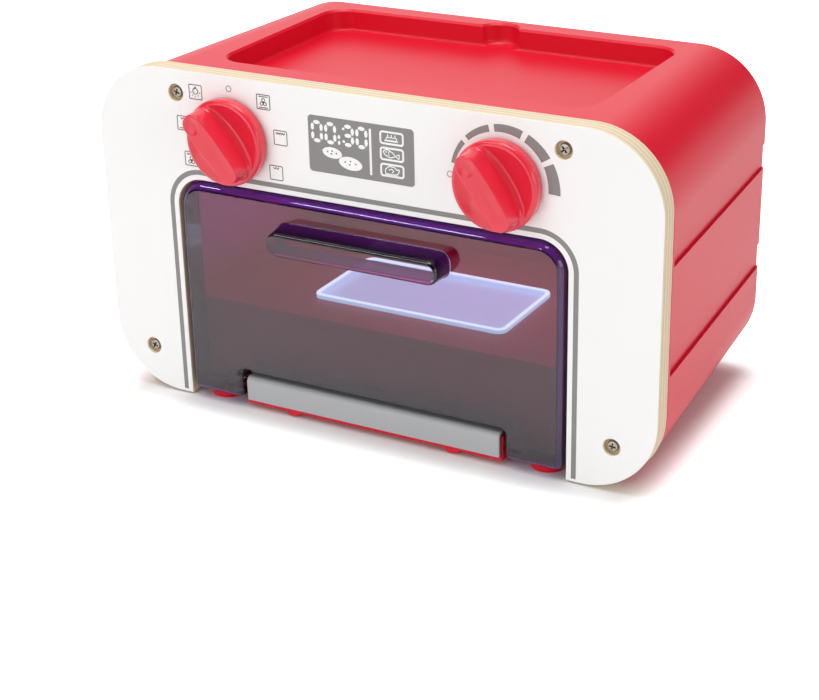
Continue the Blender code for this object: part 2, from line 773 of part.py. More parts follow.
def housing_pilot_solids():
    solids = []
    radius = SCREW_SHANK_RADIUS + PILOT_CLEARANCE
    tip = COUNTERBORE_DEPTH - GAP - SCREW_HEAD_HEIGHT + SCREW_LENGTH + GAP
    for place in panel_screw_places():
        profile = [(radius, BODY_FRONT - OVERRUN), (radius, tip)]
        solids.append(turned_loops(profile, PILOT_STEPS, place, "Y"))
    radius = SMALL_SHANK_RADIUS + PILOT_CLEARANCE
    profile = [(radius, BODY_REACH - COVER_SCREW_LENGTH - GAP), (radius, BODY_REACH)]
    solids.append(turned_loops(profile, PILOT_STEPS, (0.0, cover_screw_height()), "Y"))
    return solids


def sill_outline():
    """Side view of the sill: a lip under the trim, and a block behind it."""
    lip_top = SILL_LOW + SILL_LIP_HEIGHT - GAP
    join_top = HOUSING_BOTTOM + BOTTOM_WALL
    front = TRIM_WALL - TRIM_PROUD + GAP
    top = TRIM_HIGH - TRIM_WALL - GAP
    joint = DOOR_DEPTH - DOOR_PROUD + GAP * 3 + OVERRUN
    edge = TRIM_ROUND - TRIM_WALL - GAP
    corners = [
        (SILL_LIP_DEPTH, SILL_LOW, 0.0),
        (joint, SILL_LOW, 0.0),
        (joint, join_top, 0.0),
        (SILL_BACK, join_top, 0.0),
        (SILL_BACK, top, 0.0),
        (front, top, edge),
        (front, lip_top, 0.0),
        (SILL_LIP_DEPTH, lip_top, 0.0),
    ]
    return rounded_polygon(corners, 4)


def sill_core_solids():
    """Coring from the back, with a web in the middle, so that the walls stay thin."""
    front = TRIM_WALL - TRIM_PROUD + GAP + SILL_CORE_WALL
    low = SILL_LOW + SILL_FLOOR
    high = TRIM_HIGH - TRIM_WALL - GAP - SILL_CORE_WALL
    half = SILL_HALF - SILL_END_WALL
    web = SILL_CORE_WALL / 2
    depths = (front, SILL_BACK + OVERRUN)
    left = [(-half, low), (-web, low), (-web, high), (-half, high)]
    right = [(web, low), (half, low), (half, high), (web, high)]
    return [face_loops(left, depths), face_loops(right, depths)]


def hinge_bore_solids():
    solids = []
    radius = HINGE_PIN_RADIUS + GAP
    for side in (-1, 1):
        ends = (side * (SILL_HALF - HINGE_PIN_IN_SILL - GAP), side * (SILL_HALF + OVERRUN))
        profile = [(radius, x) for x in ends]
        solids.append(turned_loops(profile, SMALL_STEPS, (HINGE_DEPTH, HINGE_HEIGHT), "X"))
    return solids


def foot_solids():
    solids = []
    for depth in (FOOT_FRONT_DEPTH, BODY_REACH - FOOT_BACK_INSET):
        top = housing_low(depth) + OVERLAP
        for side in (-1, 1):
            ease = FOOT_LIFT / 3
            profile = [(FOOT_RADIUS - ease, -FOOT_LIFT), (FOOT_RADIUS, -FOOT_LIFT + ease), (FOOT_RADIUS, top)]
            solids.append(turned_loops(profile, ROUND_STEPS, (side * FOOT_X, depth), "Z"))
    return solids


def door_swing_solids():
    """Room over the front feet for the door's lower edge, which swings down past them."""
    across = HINGE_DEPTH + DOOR_PROUD - DOOR_EDGE_ROUND
    down = HINGE_HEIGHT - DOOR_BOTTOM - DOOR_EDGE_ROUND
    radius = math.hypot(across, down) + DOOR_EDGE_ROUND + GAP
    solids = []
    for side in (-1, 1):
        profile = [(radius, side * DOOR_NOTCH_HALF), (radius, side * OPENING_HALF)]
        solids.append(turned_loops(profile, DISC_STEPS, (HINGE_DEPTH, HINGE_HEIGHT), "X"))
    return solids


def nub_solids():
    """Two half-round nubs under the sill's lip, just clear of the table."""
    drop = SILL_LOW + FOOT_LIFT - NUB_CLEARANCE
    radius = (NUB_HALF ** 2 + drop ** 2) / (2 * drop)
    centre = SILL_LOW - drop + radius
    spread = math.asin(min(NUB_HALF / radius, 1.0))
    solids = []
    for side in (-1, 1):
        outline = []
        for step in range(ARC_STEPS + 1):
            angle = spread * (2 * step / ARC_STEPS - 1)
            outline.append((side * NUB_X + radius * math.sin(angle), centre - radius * math.cos(angle)))
        outline.append((side * NUB_X + NUB_HALF, SILL_LOW + OVERLAP))
        outline.append((side * NUB_X - NUB_HALF, SILL_LOW + OVERLAP))
        start = OVERLAP + SILL_LIP_DEPTH
        solids.append(face_loops(outline, (start, start + NUB_LENGTH)))
    return solids


def build_trim(b):
    """The silver trim: a front plate with a rounded upper edge, turned back over the sill."""
    front = -TRIM_PROUD
    inner_round = TRIM_ROUND - TRIM_WALL
    inner = front + TRIM_WALL
    corners = [
        (front, TRIM_LOW, TRIM_WALL / 4),
        (inner, TRIM_LOW, 0.0),
        (inner, TRIM_HIGH - TRIM_WALL, inner_round),
        (TRIM_BACK, TRIM_HIGH - TRIM_WALL, 0.0),
        (TRIM_BACK, TRIM_HIGH, 0.0),
        (front, TRIM_HIGH, TRIM_ROUND),
    ]
    outline = rounded_polygon(corners, 4)
    b.piece("sill_trim", "silver_plastic", [side_loops(outline, (-TRIM_HALF, TRIM_HALF))])


# Door

def door_outline(inset):
    half = OPENING_HALF - DOOR_SIDE_GAP - inset
    top = OPENING_TOP - DOOR_TOP_GAP - inset
    low = DOOR_BOTTOM + inset
    corner = OPENING_CORNER - DOOR_SIDE_GAP - inset
    foot = max(DOOR_FOOT_CORNER - inset, GAP)
    notch = DOOR_NOTCH_HALF + inset
    notch_top = DOOR_NOTCH_TOP + inset
    notch_corner = DOOR_NOTCH_CORNER + inset
    corners = [
        (notch, low, foot),
        (half, low, foot),
        (half, top, corner, ARC_STEPS),
        (-half, top, corner, ARC_STEPS),
        (-half, low, foot),
        (-notch, low, foot),
        (-notch, notch_top, notch_corner),
        (notch, notch_top, notch_corner),
    ]
    return rounded_polygon(corners, EDGE_STEPS)


def door_loops():
    """A pan: out over its face edge, across the rim at the back, and up inside."""
    front = -DOOR_PROUD
    back = DOOR_DEPTH - DOOR_PROUD
    rows = []
    steps = 4
    for step in range(steps + 1):
        angle = math.pi / 2 * step / steps
        inset = DOOR_EDGE_ROUND * (1 - math.sin(angle))
        rows.append((front + DOOR_EDGE_ROUND * (1 - math.cos(angle)), inset))
    rows.append((back, 0.0))
    rows.append((back, DOOR_WALL))
    rows.append((front + DOOR_WALL, DOOR_WALL))
    return [[(x, depth, z) for x, z in door_outline(inset)] for depth, inset in rows]


def handle_rows():
    """Sections of the handle, from root to face: depth, half width, low and high edge."""
    face = -DOOR_PROUD - HANDLE_PROUD
    ease = HANDLE_EDGE_ROUND
    half, low, high = HANDLE_ROOT_HALF, HANDLE_ROOT_LOW, HANDLE_ROOT_HIGH
    front_half = half - HANDLE_FRONT_DRAW
    front_low = low + HANDLE_FRONT_LIFT
    front_high = high - HANDLE_FRONT_FALL
    return [
        (-DOOR_PROUD, half, low, high),
        (face + ease, front_half, front_low, front_high),
        (face, front_half - ease, front_low + ease, front_high - ease),
    ]


def handle_loops(wall):
    """The handle's solid, or with a wall the hollow inside it."""
    rows = handle_rows()
    root, front = rows[:2]
    if wall:
        end = front[0] - HANDLE_EDGE_ROUND + wall
        rows = [(-DOOR_PROUD + DOOR_WALL + OVERRUN, *root[1:]), root, (end, *front[1:])]
    else:
        rows = [(-DOOR_PROUD + DOOR_WALL / 2, *root[1:])] + rows
    loops = []
    for depth, half, low, high in rows:
        radius = (high - low) / 2 - wall - GAP / 2
        radius = min(radius, HANDLE_END_ROUND)
        outline = rounded_box(-half + wall, half - wall, low + wall, high - wall, radius, EDGE_STEPS * 2)
        loops.append([(x, depth, z) for x, z in outline])
    return loops


def build_door(b):
    hinge = (0.0, HINGE_DEPTH, HINGE_HEIGHT)
    door = b.piece("door", "smoked_plastic", [door_loops()], hinge)
    join(door, b.guide("add_handle", [handle_loops(0.0)], hinge))
    cut(door, b.guide("cut_handle_hollow", [handle_loops(HANDLE_WALL)], hinge))
    bosses = []
    bores = []
    for side in (-1, 1):
        start = side * (DOOR_NOTCH_HALF + DOOR_WALL / 2)
        end = side * (DOOR_NOTCH_HALF + HINGE_BOSS_LENGTH)
        centre = (HINGE_DEPTH, HINGE_HEIGHT)
        bosses.append(turned_loops([(HINGE_BOSS_RADIUS, start), (HINGE_BOSS_RADIUS, end)], ROUND_STEPS, centre, "X"))
        start = side * (DOOR_NOTCH_HALF - OVERRUN)
        end += side * OVERRUN
        radius = HINGE_PIN_RADIUS + GAP
        bores.append(turned_loops([(radius, start), (radius, end)], SMALL_STEPS, centre, "X"))
    join(door, b.guide("add_hinge_bosses", bosses, hinge))
    cut(door, b.guide("cut_hinge_boss_bores", bores, hinge))
    for side, name in ((-1, "hinge_pin_left"), (1, "hinge_pin_right")):
        ease = HINGE_PIN_RADIUS / 4
        inner = SILL_HALF - HINGE_PIN_IN_SILL
        outer = DOOR_NOTCH_HALF + HINGE_BOSS_LENGTH - GAP
        profile = [
            (HINGE_PIN_RADIUS - ease, side * inner),
            (HINGE_PIN_RADIUS, side * (inner + ease)),
            (HINGE_PIN_RADIUS, side * (outer - ease)),
            (HINGE_PIN_RADIUS - ease, side * outer),
        ]
        b.piece(name, "steel", [turned_loops(profile, SMALL_STEPS, (HINGE_DEPTH, HINGE_HEIGHT), "X")])


# Cavity

def plate_outline(inset):
    left = -PLATE_HALF + inset
    radius = max(PLATE_CORNER - inset, GAP)
    return rounded_box(left, -left, PLATE_FRONT + inset, PLATE_BACK - inset, radius, 5)


def light_box_edges():
    margin = LIGHT_BOX_MARGIN
    return -PLATE_HALF - margin, PLATE_HALF + margin, PLATE_FRONT - margin, PLATE_BACK + margin


def light_ear_places():
    left, right, front, back = light_box_edges()
    middle = (front + back) / 2
    out = LIGHT_EAR / 2 + LIGHT_BOX_WALL / 2
    return [(left - out, middle), (right + out, middle)]


def build_liner(b):
    floor = LINER_FLOOR
    wall = LINER_WALL
    shell = arch_outline(LINER_HALF + wall, LINER_APRON_LOW, LINER_TOP + wall, LINER_CORNER + wall)
    apron_back = LINER_APRON_DEPTH + wall
    liner = b.piece("cavity_liner", "liner_red", [face_loops(shell, (BODY_FRONT, apron_back))])
    edge = LINER_HALF + wall + LINER_FLANGE
    flange = arch_outline(edge, LINER_APRON_LOW, LINER_TOP + wall + LINER_FLANGE, LINER_CORNER + LINER_FLANGE)
    join(liner, b.guide("add_liner_flange", [face_loops(flange, (BODY_FRONT, BODY_FRONT + wall))]))
    outer = [
        (-LINER_HALF - wall, floor - wall, LINER_FLOOR_CORNER + wall),
        (LINER_HALF + wall, floor - wall, LINER_FLOOR_CORNER + wall),
        (LINER_HALF + wall, LINER_TOP + wall, LINER_CORNER + wall),
        (-LINER_HALF - wall, LINER_TOP + wall, LINER_CORNER + wall),
    ]
    tunnel = rounded_polygon(outer)
    join(liner, b.guide("add_liner_box", [face_loops(tunnel, (apron_back - OVERLAP, LINER_BACK + wall))]))
    inner = [
        (-LINER_HALF, floor, LINER_FLOOR_CORNER),
        (LINER_HALF, floor, LINER_FLOOR_CORNER),
        (LINER_HALF, LINER_TOP, LINER_CORNER),
        (-LINER_HALF, LINER_TOP, LINER_CORNER),
    ]
    hollow = face_loops(rounded_polygon(inner), (BODY_FRONT - OVERRUN, LINER_BACK))
    cut(liner, b.guide("cut_liner_cavity", [hollow]))
    niche = arch_outline(LINER_HALF, LINER_APRON_LOW - OVERRUN, LINER_TOP, LINER_CORNER)
    cut(liner, b.guide("cut_door_niche", [face_loops(niche, (BODY_FRONT - OVERRUN, LINER_APRON_DEPTH))]))
    bosses = []
    for x, y in light_ear_places():
        top = floor - wall / 2
        bottom = floor - wall - LIGHT_BOSS_HEIGHT
        profile = [(LIGHT_BOSS_RADIUS, bottom), (LIGHT_BOSS_RADIUS, top)]
        bosses.append(turned_loops(profile, SMALL_STEPS, (x, y), "Z"))
    join(liner, b.guide("add_light_bosses", bosses))
    seat = plate_outline(PLATE_SEAT)
    cut(liner, b.guide("cut_plate_seat", [plan_loops(seat, (floor - wall - OVERRUN, floor + OVERRUN))]))
    holes = []
    clear = SMALL_SHANK_RADIUS + PILOT_CLEARANCE
    for x, z in liner_screw_places():
        ends = (BODY_FRONT - OVERRUN, BODY_FRONT + wall + OVERRUN)
        holes.append(turned_loops([(clear, e) for e in ends], SMALL_STEPS, (x, z), "Y"))
    for x, y in light_ear_places():
        bottom = floor - wall - LIGHT_BOSS_HEIGHT
        ends = (bottom - OVERRUN, bottom + LIGHT_BOSS_HEIGHT - GAP)
        holes.append(turned_loops([(clear, e) for e in ends], SMALL_STEPS, (x, y), "Z"))
    cut(liner, b.guide("cut_liner_holes", holes))
    face = BODY_FRONT + wall + GAP + SMALL_HEAD_HEIGHT
    small_screws(b, "liner_screw", SMALL_SCREW_LENGTH, [(x, face, z) for x, z in liner_screw_places()])


def build_light(b):
    floor = LINER_FLOOR
    top = floor + PLATE_RIM_RISE
    low = floor + GAP
    spigot = PLATE_SEAT + GAP
    rows = [
        (spigot, low - PLATE_SPIGOT_DROP),
        (spigot, low),
        (0.0, low),
        (0.0, top - OVERLAP),
        (OVERLAP, top),
        (PLATE_RIM_WIDTH - OVERLAP, top),
        (PLATE_RECESS_INSET, top - PLATE_RECESS),
    ]
    loops = [[(x, y, height) for x, y in plate_outline(inset)] for inset, height in rows]
    b.piece("light_plate", "opal_plastic", [loops])
    left, right, front, back = light_box_edges()
    rim = floor - LINER_WALL - GAP
    base = rim - LIGHT_BOX_DEPTH
    wall = LIGHT_BOX_WALL
    corner = PLATE_CORNER + LIGHT_BOX_MARGIN
    outer = rounded_box(left, right, front, back, corner, 5)
    inner = rounded_box(left + wall, right - wall, front + wall, back - wall, corner - wall, 5)
    loops = plan_loops(outer, (base, rim)) + plan_loops(inner, (rim, base + wall))
    box = b.piece("light_box", "white_plastic", [loops])
    ears = []
    holes = []
    clear = SMALL_SHANK_RADIUS + PILOT_CLEARANCE
    ear_top = floor - LINER_WALL - LIGHT_BOSS_HEIGHT - GAP
    for x, y in light_ear_places():
        side = 1 if x > 0 else -1
        edge = x - side * (LIGHT_EAR / 2 + wall)
        half = LIGHT_EAR / 2
        tip = x + side * half
        outline = [(min(edge, tip), y - half), (max(edge, tip), y - half), (max(edge, tip), y + half), (min(edge, tip), y + half)]
        ears.append(plan_loops(outline, (ear_top - wall, ear_top)))
        holes.append(turned_loops([(clear, ear_top - wall - OVERRUN), (clear, ear_top + OVERRUN)], SMALL_STEPS, (x, y), "Z"))
    join(box, b.guide("add_light_ears", ears))
    posts = []
    board_low = base + wall + LED_POST_HEIGHT
    board_half = PLATE_HALF - LED_BOARD_INSET
    board_front_edge = PLATE_FRONT + LED_BOARD_INSET
    board_back_edge = PLATE_BACK - LED_BOARD_INSET
    for side in (-1, 1):
        for y in (board_front_edge + LED_POST_RADIUS * 2, board_back_edge - LED_POST_RADIUS * 2):
            place = (side * (board_half - LED_POST_RADIUS * 2), y)
            profile = [(LED_POST_RADIUS, base + wall / 2), (LED_POST_RADIUS, board_low - GAP)]
            posts.append(turned_loops(profile, SMALL_STEPS, place, "Z"))
    join(box, b.guide("add_light_posts", posts))
    cut(box, b.guide("cut_light_ear_holes", holes))
    face = ear_top - wall - GAP - SMALL_HEAD_HEIGHT
    places = [(x, y, face) for x, y in light_ear_places()]
    small_screws(b, "light_box_screw", SMALL_SCREW_LENGTH, places, "Z", 1)
    outline = rounded_box(-board_half, board_half, board_front_edge, board_back_edge, LED_POST_RADIUS, 3)
    board_high = board_low + BOARD_THICKNESS
    b.piece("led_board", "board_green", [plan_loops(outline, (board_low, board_high))])
    middle = (PLATE_FRONT + PLATE_BACK) / 2
    places = []
    for column in range(LED_COLUMNS):
        for row in range(LED_ROWS):
            x = (column - (LED_COLUMNS - 1) / 2) * PLATE_HALF * 2 * LED_PITCH_X_SHARE
            y = middle + (row - (LED_ROWS - 1) / 2) * (PLATE_BACK - PLATE_FRONT) * LED_PITCH_Y_SHARE
            places.append((x, y, board_high + GAP))
    straight = LED_HEIGHT - LED_RADIUS
    profile = [(LED_RADIUS, 0.0), (LED_RADIUS, straight)]
    for step in (1, 2):
        angle = math.pi / 6 * step
        profile.append((LED_RADIUS * math.cos(angle), straight + LED_RADIUS * math.sin(angle)))
    b.copies("led", "lamp_clear", turned_loops(profile, SMALL_STEPS, (0.0, 0.0), "Z"), places)


# Knobs and switches

def knob_back():
    return -KNOB_GAP


def knob_disc_loops():
    """The knob's disc, turned about its axis: a rounded rim and a dished face."""
    rim = -KNOB_RIM_DEPTH
    shoulder = rim + KNOB_RIM_ROUND
    face_radius = KNOB_RADIUS - KNOB_RIM_ROUND
    profile = [(KNOB_BACK_RADIUS, knob_back()), (KNOB_RADIUS, shoulder)]
    steps = 4
    for step in range(1, steps + 1):
        angle = math.pi / 2 * step / steps
        radius = face_radius + KNOB_RIM_ROUND * math.cos(angle)
        profile.append((radius, shoulder - KNOB_RIM_ROUND * math.sin(angle)))
    dish = 5
    for step in range(1, dish + 1):
        share = step / (dish + 1)
        drop = KNOB_DISH_DROP * (1 - (1 - share) ** KNOB_DISH_POWER)
        profile.append((face_radius * (1 - share), rim + drop))
    return turned_loops(profile, DISC_STEPS, (0.0, 0.0), "Y")


def grip_outline(pointer, tail, pointer_radius, tail_radius, steps=10):
    """Round-ended bar along z, its pointer end at the top, its two ends of unlike radius."""
    upper = pointer - pointer_radius
    lower = tail - tail_radius
    lean = math.asin((pointer_radius - tail_radius) / (upper + lower))
    outline = []
    for step in range(steps + 1):
        angle = lean * -1 + (math.pi + 2 * lean) * step / steps
        outline.append((pointer_radius * math.cos(angle), upper + pointer_radius * math.sin(angle)))
    for step in range(steps + 1):
        angle = math.pi + lean + (math.pi - 2 * lean) * step / steps
        outline.append((tail_radius * math.cos(angle), -lower + tail_radius * math.sin(angle)))
    return outline


def grip_loops():
    """The raised grip: a quarter round sweeps its foot into the dish, and its front edge is eased."""
    foot = KNOB_DISH_DROP - KNOB_RIM_DEPTH
    front = -KNOB_PROUD
    rows = [(foot + GRIP_ROOT, GRIP_FLARE + GRIP_DRAFT)]
    steps = 5
    for step in range(steps + 1):
        angle = math.pi / 2 * step / steps
        depth = foot - GRIP_FLARE_RISE * (1 - math.cos(angle))
        rows.append((depth, GRIP_FLARE * (1 - math.sin(angle)) + GRIP_DRAFT))
    rows.append((front + GRIP_EDGE_ROUND, 0.0))
    loops = []
    for depth, grow in rows:
        outline = grip_outline(
            GRIP_REACH_POINTER,
            GRIP_REACH_TAIL,
            GRIP_POINTER_RADIUS + grow,
            GRIP_TAIL_RADIUS + grow,
        )
        loops.append([(x, depth, z) for x, z in outline])
    ease = GRIP_EDGE_ROUND
    outline = grip_outline(
        GRIP_REACH_POINTER - ease,
        GRIP_REACH_TAIL - ease,
        GRIP_POINTER_RADIUS - ease,
        GRIP_TAIL_RADIUS - ease,
    )
    loops.append([(x, front, z) for x, z in outline])
    return loops


def dimple_loops():
    """A shallow spherical dimple at the pointer end of the grip."""
    sphere = (DIMPLE_RADIUS ** 2 + DIMPLE_DEPTH ** 2) / (2 * DIMPLE_DEPTH)
    centre = GRIP_REACH_POINTER - DIMPLE_FROM_TIP
    profile = [(DIMPLE_RADIUS * 1.5, -KNOB_PROUD - OVERRUN), (DIMPLE_RADIUS, -KNOB_PROUD)]
    steps = 4
    for step in range(1, steps):
        radius = DIMPLE_RADIUS * (1 - step / steps)
        sink = math.sqrt(sphere ** 2 - radius ** 2) - (sphere - DIMPLE_DEPTH)
        profile.append((radius, -KNOB_PROUD + sink))
    profile[0] = (DIMPLE_RADIUS, -KNOB_PROUD - OVERRUN)
    return turned_loops(profile, ROUND_STEPS, (0.0, centre), "Y")


def shaft_outline(radius, flat):
    """A round shaft's section with one flat, on the side away from the pointer."""
    cut_angle = math.acos(flat / radius)
    start = -math.pi / 2 + cut_angle
    sweep = 2 * math.pi - 2 * cut_angle
    outline = []
    for step in range(SMALL_STEPS + 1):
        angle = start + sweep * step / SMALL_STEPS
        outline.append((radius * math.cos(angle), radius * math.sin(angle)))
    return outline


def place_knob_part(loops, side):
    """Knob parts are drawn round the origin's axis, then set on the switch axis."""
    return [[(x + side * KNOB_X, y, z + KNOB_Z) for x, y, z in loop] for loop in loops]


def build_knob(b, side, label, pointer_deg):
    origin = (side * KNOB_X, 0.0, KNOB_Z)
    angle = -math.radians(pointer_deg - 90)

    def put(loops):
        return place_knob_part(loops, side)

    knob = b.piece(f"knob_{label}", "knob_red", [put(knob_disc_loops())], origin, angle)
    join(knob, b.guide(f"add_grip_{label}", [put(grip_loops())], origin, angle))
    cut(knob, b.guide(f"cut_dimple_{label}", [put(dimple_loops())], origin, angle))
    back = knob_back()
    skirt = KNOB_BACK_RADIUS - KNOB_SKIRT_WALL
    deep = back - KNOB_HOLLOW_DEPTH
    ring = [
        turned_loops([(skirt, back + OVERRUN), (skirt, deep)], ROUND_STEPS, (0.0, 0.0), "Y"),
    ]
    hub = turned_loops(
        [(KNOB_HUB_RADIUS, back + OVERRUN * 2), (KNOB_HUB_RADIUS, deep - OVERRUN)],
        ROUND_STEPS,
        (0.0, 0.0),
        "Y",
    )
    hollow = b.guide(f"cut_knob_hollow_{label}", [put(ring[0])], origin, angle)
    cut(hollow, b.guide(f"keep_knob_hub_{label}", [put(hub)], origin, angle))
    cut(knob, hollow)
    socket = shaft_outline(SHAFT_RADIUS + GAP, SHAFT_FLAT + GAP)
    ends = (back + OVERRUN, back - SHAFT_IN_KNOB - GAP)
    cut(knob, b.guide(f"cut_knob_socket_{label}", [put(face_loops(socket, ends))], origin, angle))
    shaft = shaft_outline(SHAFT_RADIUS, SHAFT_FLAT)
    far = board_front() - GAP * 2
    loops = face_loops(shaft, (back - SHAFT_IN_KNOB, far))
    b.piece(f"knob_shaft_{label}", "steel", [put(loops)], origin, angle)
    build_switch(b, side, label)


def build_switch(b, side, label):
    """A square rotary switch behind the panel, its collar in the panel's bore."""
    x = side * KNOB_X
    outline = rounded_box(x - SWITCH_HALF, x + SWITCH_HALF, KNOB_Z - SWITCH_HALF, KNOB_Z + SWITCH_HALF, OVERRUN, 3)
    ends = (BODY_FRONT, BODY_FRONT + SWITCH_DEPTH)
    switch = b.piece(f"rotary_switch_{label}", "black_plastic", [face_loops(outline, ends)])
    collar = [(SWITCH_COLLAR_RADIUS, BODY_FRONT - SWITCH_COLLAR_LENGTH), (SWITCH_COLLAR_RADIUS, BODY_FRONT + OVERLAP)]
    join(switch, b.guide(f"add_collar_{label}", [turned_loops(collar, ROUND_STEPS, (x, KNOB_Z), "Y")]))
    bore = [(SHAFT_RADIUS + GAP, ends[0] - SWITCH_COLLAR_LENGTH - OVERRUN), (SHAFT_RADIUS + GAP, ends[1] + OVERRUN)]
    cut(switch, b.guide(f"cut_switch_bore_{label}", [turned_loops(bore, ROUND_STEPS, (x, KNOB_Z), "Y")]))


def build_control_board(b):
    front = board_front()
    back = front + BOARD_THICKNESS
    half = CONTROL_BOARD_HALF
    tall = CONTROL_BOARD_HEIGHT / 2
    outline = rounded_box(-half, half, KNOB_Z - tall, KNOB_Z + tall, OVERRUN, 3)
    board = b.piece("control_board", "board_green", [face_loops(outline, (front, back))])
    clear = SMALL_SHANK_RADIUS + PILOT_CLEARANCE
    holes = []
    for place in spacer_places():
        holes.append(turned_loops([(clear, front - OVERRUN), (clear, back + OVERRUN)], SMALL_STEPS, place, "Y"))
    cut(board, b.guide("cut_board_holes", holes))
    length = front - GAP - BODY_FRONT
    profile = [(SPACER_RADIUS, 0.0), (SPACER_RADIUS, length), (clear, length), (clear, 0.0), (SPACER_RADIUS, 0.0)]
    places = [(x, BODY_FRONT, z) for x, z in spacer_places()]
    b.copies("board_spacer", "white_plastic", turned_loops(profile, SMALL_STEPS, (0.0, 0.0), "Y"), places)
    face = back + GAP + SMALL_HEAD_HEIGHT
    small_screws(b, "board_screw", BOARD_SCREW_LENGTH, [(x, face, z) for x, z in spacer_places()])


# Batteries

def build_batteries(b):
    left, right, low, high = pocket_edges()
    depth = POCKET_FRONT + CELL_FRONT_GAP + CELL_RADIUS
    heights = [CELL_LOWEST + index * CELL_PITCH for index in range(CELL_COUNT)]
    for index, height in enumerate(heights):
        way = 1 if index % 2 else -1
        half = CELL_LENGTH / 2
        ease = CELL_RADIUS / 8
        profile = [
            (CELL_RADIUS - ease, -half * way),
            (CELL_RADIUS, (ease - half) * way),
            (CELL_RADIUS, (half - CELL_NUB_LENGTH - ease) * way),
            (CELL_RADIUS - ease, (half - CELL_NUB_LENGTH) * way),
            (CELL_NUB_RADIUS, (half - CELL_NUB_LENGTH) * way),
            (CELL_NUB_RADIUS, half * way),
        ]
        name = f"battery_{index + 1}"
        b.piece(name, "cell_sleeve", [turned_loops(profile, ROUND_STEPS, (depth, height), "X")])
    groups = [(-1, heights[:1]), (-1, heights[1:]), (1, heights[:2]), (1, heights[2:])]
    for number, (side, served) in enumerate(groups, 1):
        build_contact(b, number, side, depth, served)


def build_contact(b, number, side, depth, served):
    """A contact on an end wall: a plate that serves one cell or links two, and its tips."""
    wall = side * (CELL_LENGTH / 2 + CELL_END_SPACE - GAP)
    face = wall - side * CONTACT_THICKNESS
    tip = side * (CELL_LENGTH / 2 + GAP)
    half = CONTACT_SIZE / 2
    low = served[0] - half
    high = served[-1] + half
    outline = [(depth - half, low), (depth + half, low), (depth + half, high), (depth - half, high)]
    contact = b.piece(f"battery_contact_{number}", "steel", [side_loops(outline, (wall, face))])
    root = wall - side * CONTACT_THICKNESS / 2
    tips = []
    for height in served:
        profile = [(CONTACT_TIP_RADIUS * 2, root), (CONTACT_TIP_RADIUS, tip)]
        tips.append(turned_loops(profile, SMALL_STEPS, (depth, height), "X"))
    join(contact, b.guide(f"add_contact_tips_{number}", tips))


def build_battery_cover(b):
    left, right, low, high = cover_edges()
    outline = rounded_box(left + GAP, right - GAP, low + GAP, high - GAP, COVER_CORNER - GAP, 4)
    cover = b.piece("battery_cover", "housing_red", [face_loops(outline, (cover_front(), BODY_REACH))])
    place = (0.0, cover_screw_height())
    sink = COVER_THICKNESS / 2
    clear = SMALL_SHANK_RADIUS + PILOT_CLEARANCE
    wide = COVER_SCREW_HEAD_RADIUS + GAP
    profile = [
        (clear, cover_front() - OVERRUN),
        (clear, BODY_REACH - sink),
        (wide, BODY_REACH - sink),
        (wide, BODY_REACH + OVERRUN),
    ]
    cut(cover, b.guide("cut_cover_screw_hole", [turned_loops(profile, SMALL_STEPS, place, "Y")]))
    loops = screw_loops(COVER_SCREW_HEAD_RADIUS, sink - GAP, SMALL_SHANK_RADIUS, COVER_SCREW_LENGTH, "Y", -1)
    screw = b.piece("battery_cover_screw", "steel", [loops])
    screw.location = (0.0, BODY_REACH, cover_screw_height())


def main():
    clear_scene()
    b = Builder()
    build_panel(b)
    build_housing(b)
    build_trim(b)
    build_door(b)
    build_liner(b)
    build_light(b)
    build_knob(b, -1, "left", LEFT_POINTER_DEG)
    build_knob(b, 1, "right", RIGHT_POINTER_DEG)
    build_control_board(b)
    build_batteries(b)
    build_battery_cover(b)


main()
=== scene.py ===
"""Looks of the toy oven: a lacquered plywood front with a grey print, a moulded red
housing, a smoked drop-down door, two knobs, a silver sill trim and a lit plate.

Shapes are drawn in the panel's own frame, in mm: x to the right, depth from the front
face of the panel towards the back, and height from its lower edge. Each is a surface of
two parameters, worked out as whole arrays. Lamps and camera are placed in metres.
"""

import math

import bmesh
import bpy
import numpy as np
from mathutils import Matrix, Vector
from bpy.props import FloatProperty, FloatVectorProperty, PointerProperty


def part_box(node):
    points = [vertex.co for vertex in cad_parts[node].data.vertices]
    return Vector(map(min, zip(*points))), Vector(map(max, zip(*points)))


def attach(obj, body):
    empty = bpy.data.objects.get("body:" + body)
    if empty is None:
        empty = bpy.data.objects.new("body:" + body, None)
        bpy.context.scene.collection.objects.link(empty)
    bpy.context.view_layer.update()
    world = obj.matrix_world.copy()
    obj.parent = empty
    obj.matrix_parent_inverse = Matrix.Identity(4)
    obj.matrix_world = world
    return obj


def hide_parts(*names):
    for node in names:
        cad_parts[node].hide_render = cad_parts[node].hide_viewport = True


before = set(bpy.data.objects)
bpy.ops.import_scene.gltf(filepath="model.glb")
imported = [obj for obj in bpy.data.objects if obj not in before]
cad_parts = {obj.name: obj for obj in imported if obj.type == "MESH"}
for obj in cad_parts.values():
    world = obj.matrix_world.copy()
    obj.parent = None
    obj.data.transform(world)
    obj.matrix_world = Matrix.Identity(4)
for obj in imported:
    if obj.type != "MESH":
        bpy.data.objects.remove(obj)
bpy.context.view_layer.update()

bl_info = {
    "name": "Toy oven looks",
    "version": (1, 0, 0),
    "blender": (4, 5, 0),
    "location": "3D View > Sidebar > Toy oven",
    "description": "Builds the fine surfaces, the print, the materials and the stage of the toy oven",
    "category": "Object",
}

MM = 0.001
FRONT_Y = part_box("front_panel")[0].y
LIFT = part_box("front_panel")[0].z
TAU = 2 * math.pi
SAME_POINT = 1e-4  # points nearer than this, in mm, are one


